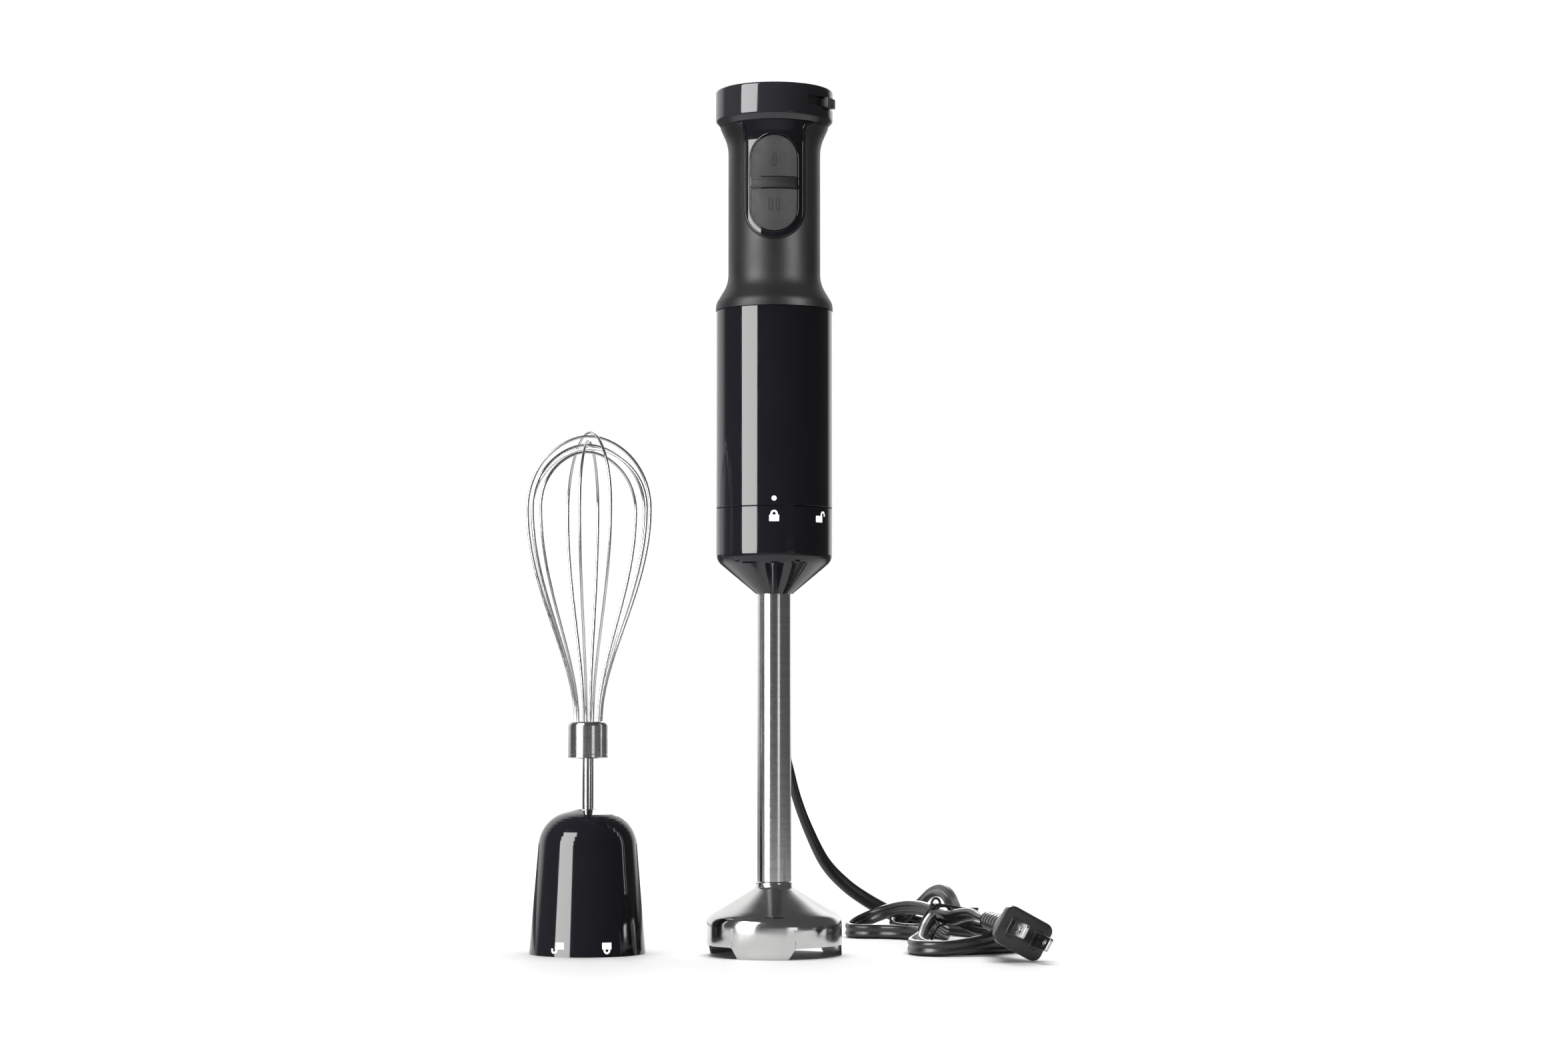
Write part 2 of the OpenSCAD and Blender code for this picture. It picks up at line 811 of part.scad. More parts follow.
// Wire tie over the strands, with its feet on the loops below
module cord_tie() {
    hw = 7.3;
    wire = 1.5;
    top = coil_waist[2];
    color("black") translate([78, 64, 0]) rotate([0, 0, 12.7]) difference() {
        block([-hw - wire, -1.2, coil_floor[2]], [hw + wire, 1.2, top + wire]);
        block([-hw, -2, coil_floor[2] - 1], [hw, 2, top]);
    }
}

module at_plug() {
    translate(plug_at) rotate([0, 0, plug_turn]) rotate([90 + plug_tip, 0, 0])
        rotate([0, 0, plug_roll]) children();
}

module rounded_rect(w, h, r) {
    for (x = [-1, 1], y = [-1, 1]) translate([x * (w / 2 - r), y * (h / 2 - r)])
        circle(r = r, $fn = 32);
    square([w - 2 * r, h], center = true);
    square([w, h - 2 * r], center = true);
}

module plug_body() {
    color("#15151a") at_plug() {
        translate([0, 0, -5]) linear_extrude(5) rounded_rect(24.3, 18.2, 4);
        hull() {
            translate([0, 0, -6]) linear_extrude(1) rounded_rect(21, 15.6, 4);
            translate([0, 0, -24]) linear_extrude(1) rounded_rect(12, 10, 4);
        }
        difference() {
            translate([0, 0, -49]) cylinder(r1 = 4, r2 = 5, h = 26);
            for (s = [-46:4:-30]) for (flip = [0, 180]) rotate([0, 0, flip])
                translate([1.4, -7, s]) cube([6, 14, 1.5]);
        }
    }
}

module plug_prongs() {
    color("silver") at_plug() for (s = [-1, 1]) difference() {
        translate([s * prong_pitch / 2, 0, 0]) rotate([0, -90, 0])
            translate([0, 0, -0.75]) linear_extrude(1.5)
                polygon(rounded([[0, -3.18], [prong_l, -3.18, 1.2], [prong_l, 3.18, 1.2],
                    [0, 3.18]], 3));
        translate([s * prong_pitch / 2 - 3, 0, prong_l - 4.6]) rotate([0, 90, 0])
            cylinder(r = 1.6, h = 6, $fn = 32);
    }
}

// ---------------------------------------------------- whisk attachment

module at_whisk() translate([whisk_x, whisk_y, 0]) children();

socket_r = 23.8;
gear_low = 27;
gear_high = 35.5;
ring_out = 21.2;

module gear_dome() {
    color("#15151a") at_whisk() {
        lathe([
            [socket_r, 0], [body_r, 0], [21.8, dome_h - 4.1, 16],
            [5.9, dome_h], [5.6, dome_h], [5.6, dome_h - 2], [6.8, dome_h - 2],
            [6.8, 50], [9, 50], [9, dome_h - 3.9], [19.6, dome_h - 6.6, 13], [ring_out, 42],
            [ring_out, 20.7], [socket_r, 20.7]
        ], 10);
        for (a = [0:120:240])
            sector(ring_lug_r, socket_r + 0.1, 2.1, 2.1 + lug_h, a, lug_w);
    }
}

// Floor of the dome's socket, which also carries the input bush
module gear_plate() {
    color("dimgray") at_whisk() lathe([
        [9.3, lock_depth], [socket_r, lock_depth], [socket_r, 20.7], [11.5, 20.7],
        [11.5, 26], [4.6, 26], [4.6, 23.7], [9.3, 23.7]
    ]);
}

module gear_bushes() {
    color("peru") at_whisk() {
        tube(shaft_r + run_gap, 4.6, 23.7, 26);
        tube(5 + run_gap, 6.8, 50, dome_h - 2);
    }
}

// Half a tooth's angle at radius r, and a gear's outline with "slack" on it
function involute_turn(a) = tan(a) * 180 / PI - a;
function tooth_half(z, r, slack) =
    let (pitch_r = gear_m * z / 2, base = pitch_r * cos(gear_pa))
    90 / z - slack / pitch_r * 90 / PI + involute_turn(gear_pa)
        - involute_turn(acos(min(1, base / r)));
function polar(r, a) = [r * cos(a), r * sin(a)];
function gear_outline(z, root, tip, slack) =
    let (pitch_r = gear_m * z / 2, low = max(root, pitch_r * cos(gear_pa)))
    [for (i = [0:z - 1]) let (a = 360 * i / z) each concat(
        [polar(root, a - tooth_half(z, low, slack))],
        [for (r = [low + 0.01, pitch_r, tip]) polar(r, a - tooth_half(z, r, slack))],
        [for (r = [tip, pitch_r, low + 0.01]) polar(r, a + tooth_half(z, r, slack))],
        [polar(root, a + tooth_half(z, low, slack))])];

addendum = 0.8 * gear_m;
dedendum = 1.1 * gear_m;
backlash = 0.16;

module toothed(z, z0, z1) {
    pitch_r = gear_m * z / 2;
    translate([0, 0, z0]) linear_extrude(z1 - z0)
        polygon(gear_outline(z, pitch_r - dedendum, pitch_r + addendum, backlash));
}

module ring_gear() {
    pitch_r = gear_m * ring_z / 2;
    color("ivory") at_whisk() difference() {
        disc(ring_out, 20.7, 36.2);
        disc(pitch_r + dedendum + 0.4, 20, 26.4);
        translate([0, 0, 26]) linear_extrude(12)
            polygon(gear_outline(ring_z, pitch_r - addendum, pitch_r + dedendum, -backlash));
    }
}

module sun_gear() {
    color("silver") at_whisk() difference() {
        toothed(sun_z, gear_low - 0.6, gear_high);
        disc(shaft_r, gear_low - 2, gear_high + 1);
    }
}

// Input shaft with the same winged socket as the blade's shaft
module input_dog() {
    color("darkgray") at_whisk() {
        lathe([[0, 20.1], [dog_r, 20.1], [dog_r, 23.1], [shaft_r, 23.1],
            [shaft_r, gear_high], [0, gear_high]]);
        wings(13.6, 20.3);
    }
}

module planet_gear(i) {
    color("ivory") at_whisk() rotate([0, 0, 120 * i]) translate([orbit_r, 0, 0])
        difference() {
            toothed(planet_z, gear_low, gear_high);
            disc(1.5 + run_gap, gear_low - 1, gear_high + 1);
        }
}
module planet_gear_1() planet_gear(0);
module planet_gear_2() planet_gear(1);
module planet_gear_3() planet_gear(2);

// Carrier: a plate with three pins, and the output hub the whisk plugs into
module planet_carrier() {
    color("silver") at_whisk() {
        for (i = [0:2]) rotate([0, 0, 120 * i]) translate([orbit_r, 0, 0])
            disc(1.5, gear_low, 37.6);
        difference() {
            lathe([
                [0, 37], [16.5, 37], [16.5, 39.6, 0.6], [7, 39.6, 1], [5, 43],
                [5, dome_h + 0.4, 0.5], [0, dome_h + 0.4]
            ]);
            disc(2.65, 44, dome_h + 2);
        }
    }
}

ferrule_z = 90;
ferrule_h = 17;
ferrule_r = 9.25;
foot_r = 6;

module whisk_stem() {
    color("silver") at_whisk() difference() {
        disc(2.6, 46, ferrule_z);
        for (s = [-1, 1]) block([s > 0 ? 2.1 : -4, -4, 48], [s > 0 ? 4 : -2.1, 4, 58]);
    }
}

// Drawn steel ferrule; each end of a loop sits in its own hole
module whisk_ferrule() {
    color("silver") at_whisk() difference() {
        lathe([
            [0, ferrule_z], [ferrule_r - 0.4, ferrule_z], [ferrule_r, ferrule_z + 0.4],
            [ferrule_r, ferrule_z + 1.6], [ferrule_r - 0.2, ferrule_z + 1.8],
            [ferrule_r, ferrule_z + 2], [ferrule_r, ferrule_z + ferrule_h, 2],
            [0, ferrule_z + ferrule_h]
        ]);
        for (i = [0:loops - 1], s = [0, 180]) rotate([0, 0, loop_turn(i) + s])
            translate([foot_r, 0, ferrule_z + ferrule_h - 6])
                cylinder(r = wire_d / 2 + 0.03, h = 8, $fn = 24);
    }
}

// Loops cross one above another; each has its own turn and its own crown
crowns = [241.8, 239.9, 237.7, 235.8, 234.2, 232.5];
turns = [-66, 3, -95, 28, -18, 43];
function loop_turn(i) = turns[i];

function bezier(p, t) = pow(1 - t, 3) * p[0] + 3 * pow(1 - t, 2) * t * p[1]
    + 3 * (1 - t) * t * t * p[2] + pow(t, 3) * p[3];

// One side of a loop, from its foot to its crown, as radius and height
belly_z = 205.7;
function loop_side(crown) =
    let (top = ferrule_z + ferrule_h,
         low = [[foot_r, top], [foot_r, top + 30], [cage_r, belly_z - 37.6],
             [cage_r, belly_z]],
         high = [[cage_r, belly_z], [cage_r, belly_z + 23.2 * (crown - belly_z) / 36.3],
             [12, crown], [0, crown]])
    concat([[foot_r, top - 5.5]], [for (i = [0:9]) bezier(low, i / 10)],
        [for (i = [0:10]) bezier(high, i / 10)]);
function loop_path(crown) =
    let (side = loop_side(crown), k = len(side) - 1)
    concat([for (p = side) [p[0], 0, p[1]]], [for (i = [k - 1:-1:0]) [-side[i][0], 0, side[i][1]]]);

module whisk_wires() {
    color("silver") at_whisk() for (i = [0:loops - 1]) rotate([0, 0, loop_turn(i)])
        sweep(loop_path(crowns[i]), wire_d / 2, 8, [0, 1, 0]);
}

blade_guard();
wand_tube();
lock_collar();
collar_floor();
bush_holders();
shaft_bushes();
shaft_seal();
bayonet_ring();
drive_shaft();
shaft_socket();
blade_hub();
blade();
blade_nut();
motor_housing();
lock_spigot();
grip_core();
grip_sleeve();
control_panel();
top_cap();
lower_bracket();
upper_bracket();
motor_bolts();
stator_core();
field_coils();
motor_bearings();
brush_holders();
carbon_brushes();
brush_springs();
circuit_board();
microswitches();
speed_potentiometer();
cord_clamp();
cord_boot();
cord_lead();
cord_bundle();
cord_tie();
plug_body();
plug_prongs();
motor_shaft();
armature_core();
armature_windings();
commutator();
cooling_fan();
drive_dog();
speed_slider();
button_low();
button_high();
gear_dome();
gear_plate();
ring_gear();
gear_bushes();
input_dog();
sun_gear();
planet_carrier();
planet_gear_1();
planet_gear_2();
planet_gear_3();
whisk_stem();
whisk_ferrule();
whisk_wires();
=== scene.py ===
# Immersion blender, its whisk attachment and its tied lead: the detailed
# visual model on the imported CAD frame. Metres, +Z up, the controls face -Y.
import json
import math

import bmesh
import bpy
from mathutils import Matrix, Vector
from mathutils.bvhtree import BVHTree


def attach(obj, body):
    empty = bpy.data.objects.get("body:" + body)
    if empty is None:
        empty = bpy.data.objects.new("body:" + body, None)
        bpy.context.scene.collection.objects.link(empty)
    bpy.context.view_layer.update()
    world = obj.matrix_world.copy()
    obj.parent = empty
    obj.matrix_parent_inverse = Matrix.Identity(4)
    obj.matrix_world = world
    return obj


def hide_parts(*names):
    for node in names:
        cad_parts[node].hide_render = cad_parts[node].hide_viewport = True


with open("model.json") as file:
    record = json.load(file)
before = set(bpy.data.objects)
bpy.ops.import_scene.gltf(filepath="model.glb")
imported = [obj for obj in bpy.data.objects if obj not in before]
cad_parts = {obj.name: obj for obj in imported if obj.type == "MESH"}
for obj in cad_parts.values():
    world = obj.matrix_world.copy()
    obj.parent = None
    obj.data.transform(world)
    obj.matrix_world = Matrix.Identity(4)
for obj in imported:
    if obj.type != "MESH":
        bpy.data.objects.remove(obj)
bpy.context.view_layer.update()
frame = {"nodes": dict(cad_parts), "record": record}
MM = 0.001

# Sizes repeated from the CAD source, in millimetres
BODY_R = 26.9
BUTTON_R = 21.45
GRIP_Z = 297.0
GRIP_H = 85.6
PANEL_HW = 13.75
PANEL_LOW = 31.3
PANEL_FLARE = 4.5
OPENING_HW = 10.8
OPENING_LOW = 34.6
OPENING_HIGH = 79.5
WHISK_AT = (-86.4, 11.0, 0.0)
DOME_TAPER = 0.0823
WIRE_R = 0.64
LEAD_W = 7.0
PLUG_AT = (111.5, -43.0, 12.7)
PLUG_TURN = 15.7
PLUG_TIP = 3.4
PLUG_ROLL = -28.0
PRONG_OUT = 6.35

# The camera, in metres, millimetres of lens and degrees
CAMERA_AT = (0.0045, -1.453, 0.1113)
CAMERA_TILT = 93.45
SENSOR = 36
LENS = 72.24

# How finely a route is divided between two of its points
LEAD_STEPS = 6
TIE_STEPS = 5


# ------------------------------------------------------------------ helpers

def mm(*numbers):
    return Vector(numbers) * MM


def add_piece(name, mesh, body, material):
    piece = bpy.data.objects.new(name, mesh)
    bpy.context.collection.objects.link(piece)
    piece.data.materials.append(material)
    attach(piece, body)
    return piece


def spline_at(points, i, t):
    """A point between i and i + 1 on a smooth curve through all the points."""
    last = len(points) - 1
    a = points[max(i - 1, 0)]
    b = points[i]
    c = points[i + 1]
    d = points[min(i + 2, last)]
    square = (2 * a - 5 * b + 4 * c - d) * t * t
    cube = (3 * b - a - 3 * c + d) * t * t * t
    return 0.5 * (2 * b + (c - a) * t + square + cube)


def smooth(points, per):
    """The curve through the points, with so many steps from each to the next."""
    line = []
    for i in range(len(points) - 1):
        for step in range(per):
            line.append(spline_at(points, i, step / per))
    line.append(points[-1])
    return line


def tangents(points, closed=False):
    count = len(points)
    found = []
    for i in range(count):
        if closed:
            ahead = points[(i + 1) % count]
            behind = points[i - 1]
        else:
            ahead = points[min(i + 1, count - 1)]
            behind = points[max(i - 1, 0)]
        found.append((ahead - behind).normalized())
    return found


def carried(points, start, closed=False):
    """Directions across a line, turned as little as possible along it."""
    side = Vector(start)
    found = []
    for along in tangents(points, closed):
        side = (side - along * side.dot(along)).normalized()
        found.append(side)
    return found


def swept_mesh(name, points, across, section, closed=False, scales=None):
    """A tube of the given section along a line, as one closed mesh."""
    bm = bmesh.new()
    rings = []
    for i, along in enumerate(tangents(points, closed)):
        size = scales[i] if scales else 1.0
        u = (across[i] - along * across[i].dot(along)).normalized()
        v = along.cross(u)
        ring = [bm.verts.new(points[i] + (u * a + v * b) * size) for a, b in section]
        rings.append(ring)
    pairs = list(zip(rings, rings[1:]))
    if closed:
        pairs.append((rings[-1], rings[0]))
    sides = len(section)
    for low, high in pairs:
        for s in range(sides):
            t = (s + 1) % sides
            bm.faces.new((low[s], low[t], high[t], high[s]))
    if not closed:
        bm.faces.new(rings[0][::-1])
        bm.faces.new(rings[-1])
    bmesh.ops.recalc_face_normals(bm, faces=bm.faces)
    for face in bm.faces:
        face.smooth = len(face.verts) == 4
    mesh = bpy.data.meshes.new(name)
    bm.to_mesh(mesh)
    bm.free()
    return mesh


def round_section(radius, sides=12):
    turns = [2 * math.pi * s / sides for s in range(sides)]
    return [(radius * math.cos(a), radius * math.sin(a)) for a in turns]


# ---------------------------------------------------------------- materials

class Finish:
    """A node material whose roughness, tint and bump come from noise."""

    def __init__(self, name, colour, metallic=0.0, roughness=0.4):
        self.mat = bpy.data.materials.new(name)
        self.mat.use_nodes = True
        self.nodes = self.mat.node_tree.nodes
        self.links = self.mat.node_tree.links
        self.shader = self.nodes["Principled BSDF"]
        self.colour = colour
        self.shader.inputs["Base Color"].default_value = (*colour, 1)
        self.shader.inputs["Metallic"].default_value = metallic
        self.shader.inputs["Roughness"].default_value = roughness
        self.coords = self.nodes.new("ShaderNodeTexCoord")
        self.height = None

    def set(self, socket, value):
        self.shader.inputs[socket].default_value = value
        return self

    def noise(self, scale, stretch=(1, 1, 1), detail=3.0):
        place = self.nodes.new("ShaderNodeMapping")
        place.inputs["Scale"].default_value = stretch
        texture = self.nodes.new("ShaderNodeTexNoise")
        texture.inputs["Scale"].default_value = scale
        texture.inputs["Detail"].default_value = detail
        self.links.new(self.coords.outputs["Object"], place.inputs["Vector"])
        self.links.new(place.outputs["Vector"], texture.inputs["Vector"])
        return texture.outputs["Fac"]

    def ranged(self, value, low, high, start=0.3, end=0.7):
        node = self.nodes.new("ShaderNodeMapRange")
        node.inputs["From Min"].default_value = start
        node.inputs["From Max"].default_value = end
        node.inputs["To Min"].default_value = low
        node.inputs["To Max"].default_value = high
        self.links.new(value, node.inputs["Value"])
        return node.outputs["Result"]

    def rough(self, value, low, high):
        result = self.ranged(value, low, high)
        self.links.new(result, self.shader.inputs["Roughness"])
        return self

    def tint(self, value, other):
        mix = self.nodes.new("ShaderNodeMix")
        mix.data_type = "RGBA"
        mix.inputs["A"].default_value = (*self.colour, 1)
        mix.inputs["B"].default_value = (*other, 1)
        self.links.new(self.ranged(value, 0.0, 1.0), mix.inputs["Factor"])
        self.links.new(mix.outputs["Result"], self.shader.inputs["Base Color"])
        return self

    def bump(self, value, depth, strength=1.0):
        node = self.nodes.new("ShaderNodeBump")
        node.inputs["Strength"].default_value = strength
        node.inputs["Distance"].default_value = depth
        self.links.new(value, node.inputs["Height"])
        if self.height:
            self.links.new(self.height, node.inputs["Normal"])
        self.height = node.outputs["Normal"]
        self.links.new(self.height, self.shader.inputs["Normal"])
        return self


def gloss(name, dark, light):
    """Polished moulding with the faint ripple of a thin wall."""
    f = Finish(name, dark, roughness=0.06)
    f.rough(f.noise(90), 0.04, 0.085)
    f.tint(f.noise(25), light)
    f.bump(f.noise(160, detail=1.0), 0.00001, 0.35)
    return f.mat


def gloss_black():
    return gloss("gloss_black", (0.0055, 0.0055, 0.008), (0.007, 0.007, 0.0095))


def cap_painted_reflection():
    """The housing's gloss black made lighter for the cap, as a painted reflection of
    the white floor.
    """
    return gloss("cap_painted_reflection", (0.016, 0.016, 0.0195), (0.019, 0.019, 0.0225))


def grip_rubber():
    f = Finish("grip_rubber", (0.0045, 0.0044, 0.0045), roughness=0.43)
    f.rough(f.noise(60), 0.39, 0.47)
    f.tint(f.noise(45), (0.0065, 0.0063, 0.0064))
    f.set("Specular IOR Level", 0.36)
    f.bump(f.noise(2600, detail=4.0), 0.00005, 0.4)
    f.set("Sheen Weight", 0.03)
    f.set("Sheen Roughness", 0.4)
    return f.mat


def button_matte():
    """Fine-grained matte moulding of the two buttons and the bar."""
    f = Finish("button_matte", (0.022, 0.0215, 0.022), roughness=0.62)
    f.rough(f.noise(300), 0.56, 0.68)
    f.tint(f.noise(80), (0.027, 0.0265, 0.027))
    f.set("Specular IOR Level", 0.3)
    f.bump(f.noise(3200, detail=4.0), 0.00008, 0.6)
    return f.mat


def slider_grey():
    f = Finish("slider_grey", (0.05, 0.048, 0.047), roughness=0.32)
    f.rough(f.noise(300), 0.26, 0.38)
    f.tint(f.noise(90), (0.06, 0.058, 0.056))
    f.bump(f.noise(1800), 0.00003, 0.4)
    return f.mat


def dark_plastic():
    f = Finish("dark_plastic", (0.03, 0.03, 0.033), roughness=0.4)
    f.rough(f.noise(120), 0.34, 0.46)
    f.tint(f.noise(30), (0.036, 0.036, 0.04))
    f.bump(f.noise(1800), 0.00004, 0.4)
    return f.mat


def grey_plastic():
    f = Finish("grey_plastic", (0.3, 0.3, 0.31), roughness=0.45)
    f.rough(f.noise(120), 0.4, 0.5)
    f.tint(f.noise(30), (0.26, 0.26, 0.27))
    f.bump(f.noise(1500), 0.00004, 0.3)
    return f.mat


def white_plastic():
    f = Finish("white_plastic", (0.8, 0.79, 0.74), roughness=0.35)
    f.rough(f.noise(140), 0.28, 0.4)
    f.tint(f.noise(40), (0.76, 0.74, 0.68))
    f.bump(f.noise(1400), 0.00003, 0.3)
    f.set("Subsurface Weight", 0.05)
    return f.mat


def polished_steel():
    f = Finish("polished_steel", (0.66, 0.655, 0.65), 1.0, 0.12)
    f.rough(f.noise(60, (1, 1, 2), 4.0), 0.07, 0.2)
    f.tint(f.noise(45, detail=5.0), (0.56, 0.555, 0.55))
    f.bump(f.noise(45), 0.00025, 0.08)
    return f.mat


def brushed_steel():
    """Fine lines round the tube, with faint broader bands among them."""
    f = Finish("brushed_steel", (0.62, 0.62, 0.625), 1.0, 0.2)
    f.rough(f.noise(700, (1, 1, 9)), 0.15, 0.25)
    f.tint(f.noise(50, (1, 1, 20)), (0.55, 0.55, 0.56))
    f.bump(f.noise(60, (1, 1, 140), 6.0), 0.00002, 0.12)
    f.set("Anisotropic", 0.6)
    f.set("Anisotropic Rotation", 0.25)
    return f.mat


def spring_steel():
    f = Finish("spring_steel", (0.62, 0.615, 0.61), 1.0, 0.22)
    f.rough(f.noise(400), 0.17, 0.28)
    f.tint(f.noise(80), (0.52, 0.515, 0.515))
    f.bump(f.noise(1600), 0.000004, 0.3)
    return f.mat


def shaft_steel():
    f = Finish("shaft_steel", (0.55, 0.55, 0.56), 1.0, 0.22)
    f.rough(f.noise(500), 0.16, 0.28)
    f.tint(f.noise(120), (0.48, 0.48, 0.49))
    f.bump(f.noise(700, (1, 1, 5)), 0.000006, 0.3)
    return f.mat


def motor_steel():
    """Stacked laminations show as fine lines across the axis."""
    f = Finish("motor_steel", (0.3, 0.31, 0.33), 1.0, 0.4)
    f.rough(f.noise(300), 0.34, 0.48)
    f.tint(f.noise(90), (0.22, 0.23, 0.25))
    f.bump(f.noise(30, (0.02, 0.02, 60)), 0.00008, 0.4)
    return f.mat


def copper():
    f = Finish("copper", (0.55, 0.22, 0.08), 1.0, 0.3)
    f.rough(f.noise(300), 0.22, 0.38)
    f.tint(f.noise(150), (0.42, 0.15, 0.05))
    f.bump(f.noise(900, (1, 1, 3)), 0.00006, 0.6)
    return f.mat


def bronze():
    f = Finish("bronze", (0.5, 0.34, 0.14), 1.0, 0.42)
    f.rough(f.noise(500), 0.36, 0.5)
    f.tint(f.noise(200), (0.4, 0.27, 0.11))
    f.bump(f.noise(2400), 0.00003, 0.5)
    return f.mat


def carbon():
    f = Finish("carbon", (0.02, 0.02, 0.02), roughness=0.6)
    f.rough(f.noise(400), 0.5, 0.7)
    f.tint(f.noise(300), (0.03, 0.03, 0.032))
    f.bump(f.noise(2500), 0.00003, 0.5)
    return f.mat


def board():
    f = Finish("board", (0.02, 0.12, 0.045), roughness=0.35)
    f.rough(f.noise(300), 0.3, 0.42)
    f.tint(f.noise(500, (1, 1, 0.2)), (0.03, 0.18, 0.06))
    f.bump(f.noise(900), 0.00003, 0.4)
    return f.mat


def switch_plastic():
    f = Finish("switch_plastic", (0.04, 0.04, 0.045), roughness=0.35)
    f.rough(f.noise(200), 0.3, 0.42)
    f.tint(f.noise(100), (0.055, 0.055, 0.06))
    f.bump(f.noise(1500), 0.00003, 0.3)
    return f.mat


def seal_rubber():
    f = Finish("seal_rubber", (0.02, 0.02, 0.02), roughness=0.55)
    f.rough(f.noise(200), 0.5, 0.62)
    f.tint(f.noise(100), (0.028, 0.028, 0.028))
    f.bump(f.noise(2000), 0.00003, 0.3)
    return f.mat


def lead_pvc():
    """Satin vinyl: smooth, with a faint waviness from extrusion."""
    f = Finish("lead_pvc", (0.009, 0.009, 0.01), roughness=0.3)
    f.rough(f.noise(150), 0.24, 0.36)
    f.tint(f.noise(60), (0.013, 0.013, 0.014))
    f.bump(f.noise(420, detail=2.0), 0.00002, 0.4)
    f.set("IOR", 1.54)
    return f.mat


def plug_pvc():
    """Moulded vinyl with a fine spark-eroded grain on its face."""
    f = Finish("plug_pvc", (0.01, 0.01, 0.011), roughness=0.3)
    f.rough(f.noise(220), 0.24, 0.36)
    f.tint(f.noise(90), (0.014, 0.014, 0.015))
    f.bump(f.noise(1700, detail=4.0), 0.00005, 0.5)
    return f.mat


def tie_plastic():
    f = Finish("tie_plastic", (0.006, 0.006, 0.006), roughness=0.2)
    f.rough(f.noise(300), 0.15, 0.28)
    f.tint(f.noise(200), (0.009, 0.009, 0.009))
    f.bump(f.noise(700), 0.00002, 0.3)
    return f.mat


def white_print():
    """Pad-printed ink: matte, with slightly uneven cover."""
    f = Finish("white_print", (0.78, 0.78, 0.78), roughness=0.5)
    f.rough(f.noise(900), 0.42, 0.58)
    f.tint(f.noise(1500), (0.7, 0.7, 0.7))
    f.bump(f.noise(3000), 0.00001, 0.4)
    return f.mat


def make_materials():
    makers = (
        gloss_black, cap_painted_reflection, grip_rubber, button_matte, slider_grey,
        dark_plastic, grey_plastic, white_plastic, polished_steel,
        brushed_steel, spring_steel, shaft_steel, motor_steel, copper, bronze,
        carbon, board, switch_plastic, seal_rubber, lead_pvc, plug_pvc,
        tie_plastic, white_print,
    )
    return {maker.__name__: maker() for maker in makers}


MATS = make_materials()


def dress_nodes():
    """Each CAD node takes its record's material, and four a closer one."""
    for part in frame["record"]["subparts"]:
        node = frame["nodes"][part["node"]]
        node.data.materials.clear()
        node.data.materials.append(MATS[part["material_slot"]])
    for name in ("button_low", "button_high"):
        frame["nodes"][name].data.materials[0] = MATS["button_matte"]
    frame["nodes"]["speed_slider"].data.materials[0] = MATS["slider_grey"]
    # The cap takes the lightened gloss, a painted reflection of the floor.
    frame["nodes"]["top_cap"].data.materials[0] = MATS["cap_painted_reflection"]


def soften_edges():
    """Moulded parts get small rounded edges that catch the light."""
    sharper_than = math.radians(38)
    widths = {
        "button_low": 0.5, "button_high": 0.5, "speed_slider": 0.25,
        "top_cap": 0.25, "plug_prongs": 0.2, "cord_boot": 0.25,
        "blade_guard": 0.3,
    }
    for name, width in widths.items():
        node = frame["nodes"][name]
        weld = node.modifiers.new("weld", "WELD")
        weld.merge_threshold = 0.00001
        bevel = node.modifiers.new("edges", "BEVEL")
        bevel.width = width * MM
        bevel.segments = 3
        bevel.angle_limit = sharper_than
        bevel.harden_normals = False


# ------------------------------------------------- camera, floor and lights

def make_camera():
    lens = bpy.data.cameras.new("camera")
    lens.sensor_width = SENSOR
    lens.lens = LENS
    camera = bpy.data.objects.new("camera", lens)
    camera.location = CAMERA_AT
    camera.rotation_euler = (math.radians(CAMERA_TILT), 0, 0)
    bpy.context.collection.objects.link(camera)
    bpy.context.scene.camera = camera


def floor_material():
    """A white table that fades into the surroundings: white to the camera."""
    seen_glow = 1.3
    other_glow = 0.12
    fade_from = 0.32
    fade_to = 0.6
    f = Finish("floor_paper", (0.88, 0.88, 0.88), roughness=0.6)
    f.rough(f.noise(40), 0.55, 0.65)
    sight = f.nodes.new("ShaderNodeLightPath")
    glow = f.nodes.new("ShaderNodeEmission")
    glow.inputs["Color"].default_value = (1, 1, 1, 1)
    camera_ray = sight.outputs["Is Camera Ray"]
    level = f.ranged(camera_ray, other_glow, seen_glow, 0.0, 1.0)
    f.links.new(level, glow.inputs["Strength"])
    away = f.nodes.new("ShaderNodeVectorMath")
    away.operation = "LENGTH"
    f.links.new(f.coords.outputs["Object"], away.inputs[0])
    fade = f.ranged(away.outputs["Value"], 0.0, 1.0, fade_from, fade_to)
    mix = f.nodes.new("ShaderNodeMixShader")
    f.links.new(fade, mix.inputs["Fac"])
    f.links.new(f.shader.outputs["BSDF"], mix.inputs[1])
    f.links.new(glow.outputs["Emission"], mix.inputs[2])
    out = f.nodes["Material Output"]
    f.links.new(mix.outputs["Shader"], out.inputs["Surface"])
    return f.mat


def make_floor():
    bm = bmesh.new()
    bmesh.ops.create_circle(bm, cap_ends=True, radius=6, segments=96)
    mesh = bpy.data.meshes.new("floor")
    bm.to_mesh(mesh)
    bm.free()
    floor = bpy.data.objects.new("floor", mesh)
    floor.data.materials.append(floor_material())
    bpy.context.collection.objects.link(floor)
    return floor


def area_light(name, place, width, tall, radiance):
    """A rectangular light that the camera doesn't see, facing down."""
    lamp = bpy.data.lights.new(name, "AREA")
    lamp.shape = "RECTANGLE"
    lamp.size = width
    lamp.size_y = tall
    lamp.energy = radiance * math.pi * width * tall
    light = bpy.data.objects.new(name, lamp)
    light.location = place
    light.visible_camera = False
    bpy.context.collection.objects.link(light)
    return light


